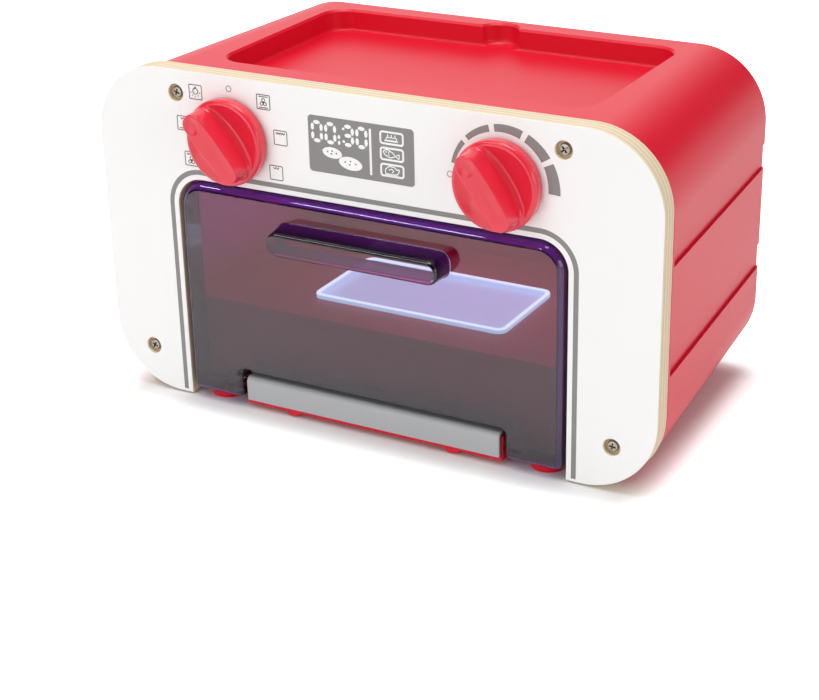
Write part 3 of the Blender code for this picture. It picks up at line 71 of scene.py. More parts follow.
def linear(code):
    """Linear colour of an sRGB hex value: each channel through the sRGB curve."""
    channels = [int(code[i:i + 2], 16) / 255 for i in (1, 3, 5)]
    return [c / 12.92 if c <= 0.04045 else ((c + 0.055) / 1.055) ** 2.4 for c in channels]


def opaque(code):
    """The same colour with full cover, as a node's colour input takes it."""
    return (*linear(code), 1.0)


# Outlines and surfaces

def unit(vectors):
    """Each vector over its own length."""
    return vectors / np.linalg.norm(vectors, axis=-1, keepdims=True)


def rounded(corners, steps=12, closed=True):
    """Points and outward normals of a line through corners (u, v, radius), in mm.

    Each corner becomes an arc: its centre lies radius / cos(half the turn) from the
    corner, and the normal swings evenly from one side's normal to the next.
    """
    corners = np.asarray(corners, float)
    spots = corners[:, :2]
    before = unit(spots - np.roll(spots, 1, 0))
    after = unit(np.roll(spots, -1, 0) - spots)
    start_angle = np.arctan2(before[:, 1], before[:, 0])
    turn = np.arctan2(after[:, 1], after[:, 0]) - start_angle
    turn = (turn + math.pi) % TAU - math.pi
    if not closed:
        turn[[0, -1]] = 0
        start_angle[0] = np.arctan2(after[0, 1], after[0, 0])
    reach = corners[:, 2] * np.tan(np.abs(turn) / 2)
    first_normal = np.stack([np.sin(start_angle), -np.cos(start_angle)], 1)
    swing = (np.sign(turn) * corners[:, 2])[:, None]
    centre = spots - before * reach[:, None] - swing * first_normal
    angle = start_angle[:, None] + turn[:, None] * np.linspace(0, 1, steps + 1)
    normals = np.stack([np.sin(angle), -np.cos(angle)], 2)
    points = centre[:, None] + swing[:, None] * normals
    if not closed:
        points[[0, -1]] = spots[[0, -1]][:, None]
    points, normals = points.reshape(-1, 2), normals.reshape(-1, 2)
    keep = np.linalg.norm(points - np.roll(points, 1, 0), axis=1) > SAME_POINT
    keep[0] = keep[0] or not closed
    return points[keep], normals[keep]


def box_outline(left, right, low, high, radius, steps=12):
    """A rectangle with an arc of the same radius at each of its four corners."""
    corners = [(left, low), (right, low), (right, high), (left, high)]
    return rounded([(*corner, radius) for corner in corners], steps)


def ring(radius, steps, centre=(0, 0), squash=1.0, tilt=0.0):
    """Points and normals of an ellipse: radius along u, radius * squash along v, turned by tilt."""
    angle = np.arange(steps) / steps * TAU
    u, v = radius * np.cos(angle), radius * squash * np.sin(angle)
    cos, sin = math.cos(tilt), math.sin(tilt)
    points = np.stack([u * cos - v * sin, u * sin + v * cos], 1)
    return points + centre, np.stack([np.cos(angle), np.sin(angle)], 1)


def front(u, depth, v):
    """Panel frame to world: u across, depth backwards, v up, in mm."""
    return np.stack(np.broadcast_arrays(u * MM, depth * MM + FRONT_Y, v * MM + LIFT), -1)


def upright(u, height, v):
    """Places an outline seen from above: u across, v backwards, and its rows at heights."""
    return front(u, v, height)


def sideways(u, across, v):
    """Places an outline seen from the side: u backwards, v up, and its rows across."""
    return front(across, u, v)


def stack_rows(outline, rows, place=front):
    """Rows of an outline: each row (level, inset) moves every point inset along its normal inwards."""
    points, normals = outline
    rows = np.asarray(rows, float)
    flat = points[None] - rows[:, 1, None, None] * normals[None]
    return place(flat[..., 0], rows[:, :1], flat[..., 1])


def slab(outline, start, end, place=front):
    """An outline carried straight from one level to another."""
    return solid(stack_rows(outline, [(start, 0), (end, 0)], place))


def quarter(level, inset, radius, way, steps=6):
    """Rows (level, inset) of a quarter round that starts at the face and ends on the side."""
    angle = np.linspace(0, math.pi / 2, steps + 1)
    return np.stack([level + way * radius * (1 - np.cos(angle)), inset + radius * (1 - np.sin(angle))], 1)


def eased(start, end, radius):
    """Rows (level, inset) from start to end, with a quarter round of that radius at both."""
    return np.concatenate([quarter(start, 0, radius, 1, 4), quarter(end, 0, radius, -1, 4)[::-1]])


def soft_box_rows(depth, half, low, high, radius, steps=10):
    """Rounded boxes, one row for each depth: a corner's centre lies radius inside both its
    sides, and the corner swings a quarter turn round it."""
    columns = [np.atleast_1d(np.asarray(a, float))[:, None] for a in (depth, half, low, high, radius)]
    depth, half, low, high, radius = columns
    angle = np.radians((np.arange(4)[:, None] * 90 + np.linspace(0, 90, steps)).ravel())
    out = np.repeat([1.0, -1.0, -1.0, 1.0], steps)
    rise = np.repeat([1.0, 1.0, -1.0, -1.0], steps)
    u = out * (half - radius) + radius * np.cos(angle)
    v = (low + high) / 2 + rise * ((high - low) / 2 - radius) + radius * np.sin(angle)
    return front(u, depth, v)


def solid(rows, tube=False):
    """Points and faces of stacked rows of points: a quad between neighbours, and a cap at
    each end, or the last row joined to the first where it is a tube."""
    count, width = rows.shape[:2]
    i, j = np.meshgrid(np.arange(count if tube else count - 1), np.arange(width), indexing="ij")
    k, m = (i + 1) % count, (j + 1) % width
    faces = [np.stack([i * width + j, k * width + j, k * width + m, i * width + m], -1).reshape(-1, 4)]
    if not tube:
        last = count * width - 1
        faces += [np.arange(width)[None], np.arange(last, last - width, -1)[None]]
    return rows.reshape(-1, 3), faces


def turned(profile, steps, centre, axis="y"):
    """A turned solid: profile (radius, place along the axis) carried round a circle about
    an axis through centre that runs across (x), backwards (y) or up (z)."""
    profile = np.asarray(profile, float)
    angle = np.arange(steps) / steps * TAU
    a = centre[0] + profile[:, :1] * np.cos(angle)
    b = centre[1] + profile[:, :1] * np.sin(angle)
    along = profile[:, 1:] + 0 * a
    return solid(front(*{"x": (along, a, b), "y": (a, along, b), "z": (a, b, along)}[axis]))


def mesh_object(name, parts):
    """One mesh of several solids: each solid's faces are moved on by the points before it."""
    shifts = np.cumsum([0] + [len(points) for points, _ in parts])
    blocks = [block + shift for (_, faces), shift in zip(parts, shifts) for block in faces]
    sizes = np.concatenate([np.full(len(block), block.shape[1]) for block in blocks])
    corners = np.concatenate([block.ravel() for block in blocks])
    points = np.concatenate([points for points, _ in parts])
    mesh = bpy.data.meshes.new(name)
    mesh.vertices.add(len(points))
    mesh.vertices.foreach_set("co", points.astype(np.float32).ravel())
    mesh.loops.add(len(corners))
    mesh.loops.foreach_set("vertex_index", corners.astype(np.int32))
    mesh.polygons.add(len(sizes))
    mesh.polygons.foreach_set("loop_start", (np.cumsum(sizes) - sizes).astype(np.int32))
    mesh.update(calc_edges=True)
    bm = bmesh.new()
    bm.from_mesh(mesh)
    bmesh.ops.recalc_face_normals(bm, faces=bm.faces)
    bm.to_mesh(mesh)
    bm.free()
    return linked(name, mesh)


def linked(name, data):
    """An object of that data, in the scene."""
    obj = bpy.data.objects.new(name, data)
    bpy.context.scene.collection.objects.link(obj)
    return obj


def reshape(obj, operation, *others):
    """Cuts or joins each other solid in turn, and keeps only the result."""
    for other in others:
        tool = mesh_object("shaping_tool", other) if isinstance(other, list) else other
        step = obj.modifiers.new("shaping", "BOOLEAN")
        step.operation = operation
        step.solver = "EXACT"
        step.object = tool
        made = bpy.data.meshes.new_from_object(obj.evaluated_get(bpy.context.evaluated_depsgraph_get()))
        obj.modifiers.clear()
        obj.data = made
        bpy.data.objects.remove(tool)


def dress(obj, material, body, replaces=(), angle=35.0):
    """Shades a finished piece, with edges past the angle left sharp, gives it its material,
    and hangs it on its body."""
    obj.data.materials.clear()
    obj.data.materials.append(material)
    obj.data.shade_smooth()
    obj.data.set_sharp_from_angle(angle=math.radians(angle))
    weigh = obj.modifiers.new("even_normals", "WEIGHTED_NORMAL")
    weigh.keep_sharp = True
    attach(obj, body)
    if replaces:
        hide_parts(*replaces)
    return obj


# Materials

VENEERS = 7
GLUE_SHARE = 0.09  # of a veneer's thickness
STREAK_MM = (50 / 3, 2 / 3, 50 / 3)  # size of a streak of grain across, in depth and up
# The core of the door and of the handle: half its breadth, its foot and its top, in mm. What
# faces away from the core is a side
DOOR_CORE = (85, 26, 97)
HANDLE_CORE = (40, 96, 98)
PLATE_FLOOR = 47.3
PLATE_CREST = 50.6


def feed(tree, node, inputs):
    """Fills a node's inputs with values, with outputs, or with nodes.

    A node stands for its first output in use. A Mix node's inputs go by number: 0 is the
    share, 2 and 3 are the two numbers, and 6 and 7 the two colours that it mixes.
    """
    for key, value in inputs.items():
        if isinstance(value, bpy.types.Node):
            value = next(output for output in value.outputs if output.enabled)
        if isinstance(value, bpy.types.NodeSocket):
            tree.links.new(value, node.inputs[key])
        else:
            node.inputs[key].default_value = value


def add(tree, kind, inputs=None, **settings):
    """Adds a node with its settings, and feeds its inputs."""
    node = tree.nodes.new(kind)
    for key, value in settings.items():
        setattr(node, key, value)
    feed(tree, node, inputs or {})
    return node


def new_material(name, colour, roughness, metallic=0.0, **sockets):
    """A material with one Principled shader; sockets names further inputs of it."""
    material = bpy.data.materials.new(name)
    material.use_nodes = True
    tree = material.node_tree
    shader = tree.nodes["Principled BSDF"]
    inputs = {"Base Color": (*colour, 1.0), "Roughness": roughness, "Metallic": metallic}
    inputs.update({key.replace("_", " "): value for key, value in sockets.items()})
    feed(tree, shader, inputs)
    return material, tree, shader


def lacquered_ply(lacquer):
    """Birch plywood, 7 veneers, sprayed white on its face and left clear on its cut edges.

    The lacquer gives the eye an even, satin white, and the cut edge warm, matt stripes. The
    face is the skin whose normal points forwards, within half a millimetre of the front.
    Everywhere else the veneers show as bands across the depth, with a thin glue line
    between them and a streaky grain along them.
    """
    material, tree, shader = new_material("white_lacquer_on_birch_ply", linear("#FFFFFF"), 0.42)
    where = add(tree, "ShaderNodeTexCoord")
    at = add(tree, "ShaderNodeSeparateXYZ", {"Vector": where.outputs["Object"]})
    normal = add(tree, "ShaderNodeSeparateXYZ", {"Vector": where.outputs["Normal"]})
    near = add(tree, "ShaderNodeMath", {0: at.outputs["Y"], 1: FRONT_Y + 0.5 * MM}, operation="LESS_THAN")
    ahead = add(tree, "ShaderNodeMath", {0: normal.outputs["Y"], 1: -0.75}, operation="LESS_THAN")
    face = add(tree, "ShaderNodeMath", {0: near, 1: ahead}, operation="MULTIPLY")
    depth = add(tree, "ShaderNodeMath", {0: at.outputs["Y"], 1: FRONT_Y}, operation="SUBTRACT")
    veneer = add(tree, "ShaderNodeMath", {0: depth, 1: PANEL_THICK * MM / VENEERS}, operation="DIVIDE")
    within = add(tree, "ShaderNodeMath", {0: veneer}, operation="FRACT")
    number = add(tree, "ShaderNodeMath", {0: veneer}, operation="FLOOR")
    crossed = add(tree, "ShaderNodeMath", {0: number, 1: 2.0}, operation="FLOORED_MODULO")
    glue = add(tree, "ShaderNodeMath", {0: within, 1: GLUE_SHARE}, operation="LESS_THAN")
    spot = where.outputs["Object"]
    per_metre = [1 / (size * MM) for size in STREAK_MM]
    long_way = add(tree, "ShaderNodeVectorMath", {0: spot, 1: per_metre}, operation="MULTIPLY")
    streaks = add(tree, "ShaderNodeTexNoise", {
        "Vector": long_way, "Scale": 1.0, "Detail": 3.0, "Roughness": 0.6})
    light = add(tree, "ShaderNodeMix", {
        0: streaks, 6: opaque("#F6E9D2"), 7: opaque("#EAD7B6")}, data_type="RGBA")
    dark = add(tree, "ShaderNodeMix", {
        0: streaks, 6: opaque("#EBD9BC"), 7: opaque("#DCC49C")}, data_type="RGBA")
    bands = add(tree, "ShaderNodeMix", {0: crossed, 6: light, 7: dark}, data_type="RGBA")
    thin = add(tree, "ShaderNodeMath", {0: glue, 1: 0.45}, operation="MULTIPLY")
    lines = add(tree, "ShaderNodeMix", {0: thin, 6: bands, 7: opaque("#B99A6B")}, data_type="RGBA")
    colour = add(tree, "ShaderNodeMix", {0: face, 6: lines, 7: (*lacquer, 1)}, data_type="RGBA")
    rough = add(tree, "ShaderNodeMix", {0: face, 2: 0.62, 3: 0.38}, data_type="FLOAT")
    feed(tree, shader, {"Base Color": colour, "Roughness": rough})
    return material


def moulded_abs(name, colour, roughness, grain_mm=0.6, height_mm=0.006, coat=0.0):
    """Moulded ABS: the colour goes right through, so it looks deep and even, over a faint
    texture left by the mould, which breaks up its highlights.

    The texture is noise with grains of grain_mm, on the object's own coordinates. A real one
    is finer, and would not show. A coat is what a polished mould leaves: a tight highlight.
    """
    material, tree, shader = new_material(
        name, colour, roughness, Coat_Weight=coat, Coat_Roughness=0.12, Specular_IOR_Level=0.4)
    where = add(tree, "ShaderNodeTexCoord")
    noise = add(tree, "ShaderNodeTexNoise", {
        "Vector": where.outputs["Object"], "Scale": 1 / (grain_mm * MM), "Detail": 2.0})
    bump = add(tree, "ShaderNodeBump", {"Height": noise, "Strength": 1.0, "Distance": height_mm * MM})
    feed(tree, shader, {"Normal": bump})
    return material


def smoked_styrene(smoke, rim_tint_and_glow):
    """Smoked clear styrene, polished in the mould.

    Flat walls let light through with a brown-violet tint and mirror the surroundings. The
    rounded rim and the handle's sides let little light through and are coloured violet: the
    tint of thick plastic seen edge on, with a painted glow of the lit cavity in it. On these
    sides light and shade are painted too: a painted reflection makes the handle lighter at its
    root, a painted shade darkens the door's upright rims towards the bottom, and painted
    shade, almost black, lies where a side turns into a face and on the notch over the trim.
    A surface counts as such a side if it points away from the core of the door, or of the
    handle, and isn't flat.
    """
    material, tree, shader = new_material(
        "smoked_styrene", smoke, 0.02, IOR=1.57, Coat_Weight=0.25, Coat_Roughness=0.02)
    where = add(tree, "ShaderNodeTexCoord")
    spot = where.outputs["Object"]
    at = add(tree, "ShaderNodeSeparateXYZ", {"Vector": spot})
    normal = add(tree, "ShaderNodeSeparateXYZ", {"Vector": where.outputs["Normal"]})

    # Which core a point goes with, and the core's point that is nearest
    handle = add(tree, "ShaderNodeMath", {0: at.outputs["Y"], 1: FRONT_Y - 1.9 * MM}, operation="LESS_THAN")
    reach, low, high = [
        add(tree, "ShaderNodeMix", {0: handle, 2: door * MM + base, 3: grip * MM + base}, data_type="FLOAT")
        for door, grip, base in zip(DOOR_CORE, HANDLE_CORE, (0, LIFT, LIFT))]
    left = add(tree, "ShaderNodeMath", {0: reach, 1: -1.0}, operation="MULTIPLY")
    least = add(tree, "ShaderNodeCombineXYZ", {"X": left, "Z": low})
    most = add(tree, "ShaderNodeCombineXYZ", {"X": reach, "Z": high})
    near = add(tree, "ShaderNodeVectorMath", {0: spot, 1: least}, operation="MAXIMUM")
    near = add(tree, "ShaderNodeVectorMath", {0: near, 1: most}, operation="MINIMUM")
    away = add(tree, "ShaderNodeVectorMath", {0: spot, 1: near}, operation="SUBTRACT")
    across = add(tree, "ShaderNodeVectorMath", {0: away, 1: (1, 0, 1)}, operation="MULTIPLY")

    # A side: its normal points away from there, and not straight forwards or backwards
    direction = where.outputs["Normal"]
    ahead = add(tree, "ShaderNodeVectorMath", {0: across, 1: direction}, operation="DOT_PRODUCT")
    outward = add(tree, "ShaderNodeMath", {0: ahead, 1: 0.5 * MM}, operation="GREATER_THAN")
    facing = add(tree, "ShaderNodeMath", {0: normal.outputs["Y"]}, operation="ABSOLUTE")
    turn = add(tree, "ShaderNodeMapRange", {"Value": facing, "From Min": 0.985, "From Max": 0.955})
    side = add(tree, "ShaderNodeMath", {0: outward, 1: turn}, operation="MULTIPLY")

    # Its colour is painted light: a painted reflection lightens the handle's root, and a painted shade
    # darkens the door's upright rims towards the bottom
    along = add(tree, "ShaderNodeMapRange", {
        "Value": at.outputs["Y"], "From Min": FRONT_Y - 13 * MM, "From Max": FRONT_Y - 2 * MM})
    handle_side_painted_reflection = add(tree, "ShaderNodeMix", {
        0: along, 6: opaque("#120A18"), 7: opaque("#4A1A5C")}, data_type="RGBA")
    # Painted shade: the upright rims go darker towards the bottom
    tall = add(tree, "ShaderNodeMapRange", {
        "Value": at.outputs["Z"], "From Min": LIFT + 20 * MM, "From Max": LIFT + 112 * MM})
    upright_rim_painted_shade = add(tree, "ShaderNodeMix", {
        0: tall, 6: opaque("#1A0C10"), 7: opaque("#4E1450")}, data_type="RGBA")
    sidelong = add(tree, "ShaderNodeMath", {0: normal.outputs["X"]}, operation="ABSOLUTE")
    # The flat rim takes the violet of tint and painted glow, the upright rims their painted shade
    rim = add(tree, "ShaderNodeMix", {0: sidelong, 6: (*rim_tint_and_glow, 1), 7: upright_rim_painted_shade}, data_type="RGBA")
    rim_side = add(tree, "ShaderNodeMix", {0: handle, 6: rim, 7: handle_side_painted_reflection}, data_type="RGBA")

    # Painted shade, almost black: the line where a side turns into a face, and the notch over the trim
    line = add(tree, "ShaderNodeMapRange", {"Value": facing, "From Min": 0.76, "From Max": 0.85})
    low_down = add(tree, "ShaderNodeMath", {0: at.outputs["Z"], 1: LIFT + 21 * MM}, operation="LESS_THAN")
    spread = add(tree, "ShaderNodeMath", {0: at.outputs["X"]}, operation="ABSOLUTE")
    between = add(tree, "ShaderNodeMath", {0: spread, 1: 75.5 * MM}, operation="LESS_THAN")
    notch = add(tree, "ShaderNodeMath", {0: low_down, 1: between}, operation="MULTIPLY")
    dark = add(tree, "ShaderNodeMath", {0: line, 1: notch}, operation="MAXIMUM")
    # The near-black colour here is painted shade, not the plastic's own
    edge = add(tree, "ShaderNodeMix", {0: dark, 6: rim_side, 7: opaque("#0C080E")}, data_type="RGBA")
    colour = add(tree, "ShaderNodeMix", {0: side, 6: (*smoke, 1), 7: edge}, data_type="RGBA")
    through = add(tree, "ShaderNodeMix", {0: side, 2: 1.0, 3: 0.12}, data_type="FLOAT")
    feed(tree, shader, {"Base Color": colour, "Transmission Weight": through})
    return material


def lit_opal(strength):
    """Opal acrylic over lamps: a soft glow, brighter and bluer in the rim than in the
    recessed middle."""
    material, tree, shader = new_material("lit_opal_acrylic", linear("#DDE6F4"), 0.25)
    where = add(tree, "ShaderNodeTexCoord")
    at = add(tree, "ShaderNodeSeparateXYZ", {"Vector": where.outputs["Object"]})
    high = add(tree, "ShaderNodeMapRange", {
        "Value": at.outputs["Z"], "From Min": LIFT + PLATE_FLOOR * MM, "From Max": LIFT + PLATE_CREST * MM})
    wall = add(tree, "ShaderNodeMapRange", {"Value": high, "From Max": 0.25})
    crest = add(tree, "ShaderNodeMapRange", {"Value": high, "From Min": 0.75, "From Max": 0.95})
    inner = add(tree, "ShaderNodeMix", {
        0: wall, 6: opaque("#85AFB2"), 7: opaque("#86BDC5")}, data_type="RGBA")
    glow = add(tree, "ShaderNodeMix", {0: crest, 6: inner, 7: opaque("#C6FFF3")}, data_type="RGBA")
    feed(tree, shader, {"Emission Color": glow, "Emission Strength": strength})
    return material


def screen_ink(name, colour):
    """Screen-printed ink: a flat matt film, which keeps its tone at any angle."""
    return new_material(name, colour, 0.5)[0]


def plated_steel():
    """Zinc-plated steel: bright grey metal with a slightly blurred shine."""
    return new_material("zinc_plated_steel", linear("#A29C94"), 0.24, 1.0)[0]


# Looks that a user may change

class ToyOvenLooks(bpy.types.PropertyGroup):
    """The colours and sizes of the oven that a user may change"""
    lacquer_colour: FloatVectorProperty(
        name="Lacquer", description="Colour of the panel's painted face", subtype="COLOR",
        size=3, min=0, max=1, default=linear("#FBFBFA"))
    print_colour: FloatVectorProperty(
        name="Print", description="Colour of the grey print", subtype="COLOR",
        size=3, min=0, max=1, default=linear("#8B8887"))
    housing_colour: FloatVectorProperty(
        name="Housing", description="Colour of the housing", subtype="COLOR",
        size=3, min=0, max=1, default=linear("#E0102E"))
    knob_colour: FloatVectorProperty(
        name="Knobs", description="Colour of the knobs", subtype="COLOR",
        size=3, min=0, max=1, default=linear("#E82A40"))
    trim_colour: FloatVectorProperty(
        name="Trim", description="Colour of the sill trim", subtype="COLOR",
        size=3, min=0, max=1, default=linear("#B4B6B8"))
    smoke_colour: FloatVectorProperty(
        name="Smoke", description="Tint of the door's plastic", subtype="COLOR",
        size=3, min=0, max=1, default=linear("#958197"))
    # The rim's violet is the plastic's tint seen edge on, with a painted glow of the lit cavity in it
    rim_tint_and_glow: FloatVectorProperty(
        name="Rim", description="Colour of the door's rim, seen edge on", subtype="COLOR",
        size=3, min=0, max=1, default=linear("#642692"))
    glow_strength: FloatProperty(
        name="Glow", description="Strength of the lit plate", min=0, max=50, default=3.45)
    knob_edge: FloatProperty(
        name="Knob edge", description="Rounding of the grip's front edge", unit="LENGTH",
        min=0.1 * MM, max=2 * MM, default=0.7 * MM)
    print_film: FloatProperty(
        name="Print film", description="How far the print stands off the panel", unit="LENGTH",
        min=0.01 * MM, max=0.2 * MM, default=0.05 * MM)


def looks():
    """The looks as the user has set them."""
    return bpy.context.scene.toy_oven_looks


# Front panel

PANEL_HALF = 150.0
PANEL_HIGH = 171.8
PANEL_THICK = 10.6
PANEL_CORNER = 37.4
PANEL_EASE = 0.35
OPENING_HALF = 105.3
OPENING_TOP = 117.5
OPENING_CORNER = 14.5
OPENING_FOOT = 0.6
SCREWS = [(-102.3, 160.2), (102.3, 160.2), (-128.0, 22.3), (128.0, 22.3)]
SCREW_HOLE = [(4.4, -2), (4.4, 0), (4.2, 0.2), (4.2, 2.8), (1.9, 2.8), (1.9, 13)]  # radius, depth
KNOB_HOLE = [(4.6, -2), (4.6, 13)]
# Place across, height, and the pointer's angle at rest in degrees
KNOBS = {"left": (-71.8, 140.7, 131.4), "right": (71.8, 140.7, 126.0)}


class TOYOVEN_OT_front_panel(bpy.types.Operator):
    """Builds the plywood front with its door opening and screw holes"""
    bl_idname = "toyoven.front_panel"
    bl_label = "Front panel"

    def execute(self, context):
        outline = rounded([
            (-PANEL_HALF, 0, PANEL_CORNER), (-OPENING_HALF, 0, OPENING_FOOT),
            (-OPENING_HALF, OPENING_TOP, OPENING_CORNER), (OPENING_HALF, OPENING_TOP, OPENING_CORNER),
            (OPENING_HALF, 0, OPENING_FOOT), (PANEL_HALF, 0, PANEL_CORNER),
            (PANEL_HALF, PANEL_HIGH, PANEL_CORNER), (-PANEL_HALF, PANEL_HIGH, PANEL_CORNER),
        ], 24)
        panel = mesh_object("plywood_front", [solid(stack_rows(outline, eased(0, PANEL_THICK, PANEL_EASE)))])
        holes = [turned(SCREW_HOLE, 48, spot) for spot in SCREWS]
        holes += [turned(KNOB_HOLE, 48, knob[:2]) for knob in KNOBS.values()]
        reshape(panel, "DIFFERENCE", holes)
        dress(panel, lacquered_ply(looks().lacquer_colour), "body", ["front_panel"], 40)
        return {"FINISHED"}


# Print, its places read off the photograph

HAIR = 0.4
FINE = 0.42
FIRM = 0.45
WHITE_LINE = 0.5
STRIPE = [(-109.2, 1.6, 0), (-109.2, 121.35, 18.2), (109.2, 121.35, 18.2), (109.2, 1.6, 0)]
STRIPE_WIDTH = 2.45
DISPLAY = (-27.8, 28.35, 131.95, 159.3, 1.9)
DISPLAY_DIVIDER = [(5.5, 134.5, 0), (5.5, 156.7, 0)]
# Places of the framed signs round the left knob
SIGNS = {"lamp": (-90.6, 161.9), "fan": (-52.05, 161.85), "large": (-43.4, 145.5),
         "small": (-46.75, 127.8), "base": (-98.85, 145.4), "mixed": (-95.75, 127.8)}
SIGN_FRAME = (7.2, 7.0, 0.5)  # width, height, corner
LARGE_GRILL = (4, 1.25)  # teeth, pitch
SMALL_GRILL = (2, 1.6)
FAN_REACH, FAN_BLADE, FAN_HUB = 1.15, 0.78, 0.35
LAMP_RADIUS = 1.4
RAY_FROM_TO = (2.25, 2.95)
# Start and end angle of each segment of the power scale, in degrees
SCALE_SEGMENTS = ((166, 138), (132, 103), (97, 66.5), (60.5, 31.5), (26, -3.6))
SCALE_INNER = 23.5
SCALE_OUTER = 25.3
SCALE_GROWTH = 4.0
DISH_FRAME = (11.7, 5.55, 1.1)
# Oval dashes of a digit: their place from its middle, and height
DASHES = {"top": (0, 156.07), "high_left": (-2.35, 153.8), "high_right": (2.4, 153.78),
          "middle": (0, 151.7), "low_left": (-2.3, 149.58), "low_right": (2.4, 149.57), "bottom": (0, 147.29)}
FLAT_DASHES = ("top", "middle", "bottom")
FLAT_DASH, TALL_DASH = (1.8, 0.98), (0.86, 1.72)  # half width, half height
CRUMBS = [(-17.63, 142.66), (-15.15, 143.17), (-15.6, 141.79), (-12.82, 142.26),
          (-8.23, 138.82), (-5.38, 139.47), (-5.83, 137.82), (-2.6, 138.48)]


def film_depths(level):
    """Front and back of a printed film: level + 1 thicknesses off the panel, one inside it."""
    lift = looks().print_film / MM
    return -lift * (level + 1), lift


def film(outline, level=0):
    """A flat filled shape, as a slab that stands a film's thickness off the panel."""
    return slab(outline, *film_depths(level))


def ribbon(line, width, level=0, closed=True):
    """A line of even width: each point of its path, moved half the width to both sides."""
    points, normals = line
    ahead, behind = film_depths(level)
    across = np.array([-0.5, 0.5, 0.5, -0.5]) * width
    depth = np.array([ahead, ahead, behind, behind])
    u = points[:, :1] + normals[:, :1] * across
    v = points[:, 1:] + normals[:, 1:] * across
    return solid(front(u, depth, v), tube=closed)


def stroke(corners, width, level=0, closed=False, steps=8):
    """A ribbon through corners (u, v, radius)."""
    return ribbon(rounded(corners, steps, closed), width, level, closed)


def straight(start, end, width, level=0):
    """A ribbon from one point to another."""
    return stroke([(*start, 0), (*end, 0)], width, level)


def circle_stroke(centre, radius, width):
    """A ribbon round a centre."""
    return ribbon(ring(radius, 40, centre), width)


def dot(centre, radius, level=0, squash=1.0, tilt=0.0):
    """A filled ellipse: radius along, radius * squash across, turned by tilt."""
    return film(ring(radius, 28, centre, squash, tilt), level)


def frame_stroke(x, z, frame_size, width, level=0):
    """A rounded frame about x, z: half its width and half its height to either side."""
    wide, high, radius = frame_size
    outline = box_outline(x - wide / 2, x + wide / 2, z - high / 2, z + high / 2, radius, 8)
    return ribbon(outline, width, level)


def heat_line(x, z, teeth, pitch):
    """The zigzag that stands for a grill: up and down in even steps."""
    count = 2 * teeth + 1
    across = (np.arange(count) - teeth) * pitch / 2
    up = np.where(np.arange(count) % 2 == 0, 0.5, -0.5)
    return stroke(np.stack([x + across, z + up, 0 * across + 0.15], 1), FINE, steps=3)


def fan(x, z):
    """A fan: three small rings set round a dot, at a third of a turn or so from each other."""
    blades = [circle_stroke((x + FAN_REACH * math.cos(a), z + FAN_REACH * math.sin(a)), FAN_BLADE, FINE)
              for a in np.radians([90, 215, 325])]
    return blades + [dot((x, z), FAN_HUB)]


def programme_signs():
    """The framed signs round the left knob: lamp, fan, large grill, small grill, and two mixed ones."""
    parts = [frame_stroke(x, z, SIGN_FRAME, FIRM) for x, z in SIGNS.values()]
    x, z = SIGNS["lamp"]
    parts.append(circle_stroke((x - 0.05, z + 0.35), LAMP_RADIUS, 0.44))
    parts.append(film(box_outline(x - 0.6, x + 0.5, z + 1.75, z + 2.55, 0.2, 4)))
    for a in np.radians([195, 232, 270, 308, 345]):
        near, far = [(x - 0.05 + r * math.cos(a), z + 0.35 + r * math.sin(a)) for r in RAY_FROM_TO]
        parts.append(straight(near, far, FINE))
    x, z = SIGNS["fan"]
    parts += fan(x, z - 0.2)
    parts += [straight((x - 2.5, z + dz), (x + 2.5, z + dz), FIRM) for dz in (2.6, -2.7)]
    x, z = SIGNS["large"]
    parts.append(heat_line(x, z + 2.1, *LARGE_GRILL))
    x, z = SIGNS["small"]
    parts.append(heat_line(x, z + 2.3, *SMALL_GRILL))
    x, z = SIGNS["base"]
    parts += [heat_line(x, z + 2.3, *SMALL_GRILL), straight((x - 2.4, z - 2.5), (x + 2.4, z - 2.5), FIRM)]
    x, z = SIGNS["mixed"]
    return parts + [heat_line(x, z + 2.3, *LARGE_GRILL)] + fan(x, z - 0.9)


def power_scale():
    """Five widening segments round the right knob: inner edge on a circle, outer edge on a
    spiral that grows evenly with the angle. A small ring marks nought at either knob."""
    x, z, _ = KNOBS["right"]
    first, last = SCALE_SEGMENTS[0][0], SCALE_SEGMENTS[-1][1]
    parts = []
    for start, end in SCALE_SEGMENTS:
        angle = np.linspace(start, end, 20)
        outer = SCALE_OUTER + (first - angle) / (first - last) * SCALE_GROWTH
        turn = np.radians(angle)
        way = np.stack([np.cos(turn), np.sin(turn)], 1)
        points = np.concatenate([outer[:, None] * way, SCALE_INNER * way[::-1]]) + (x, z)
        parts.append(film((points, 0 * points)))
    return parts + [circle_stroke((46.55, 141.1), 1.35, HAIR), circle_stroke((-71.3, 165.9), 1.4, HAIR)]


def clock():
    """The clock: each digit is a set of oval dashes on the sides of an eight, and two dots
    stand between the pairs."""
    nought = [name for name in DASHES if name != "middle"]
    three = ["top", "high_right", "middle", "low_right", "bottom"]
    parts = []
    for x, names in ((-23.05, nought), (-15.8, nought), (-6.32, three), (0.9, nought)):
        for name in names:
            dx, z = DASHES[name]
            wide, high = FLAT_DASH if name in FLAT_DASHES else TALL_DASH
            parts.append(dot((x + dx, z), wide, 1, high / wide))
    parts += [dot((-8.72, 154.75), 0.75, 1, 0.8, 0.8), dot((-8.68, 148.65), 0.75, 1, 0.8, -0.8)]
    return parts + [dot((-11.17, z), 0.72, 1, 1.4) for z in (150.5, 147.7)]


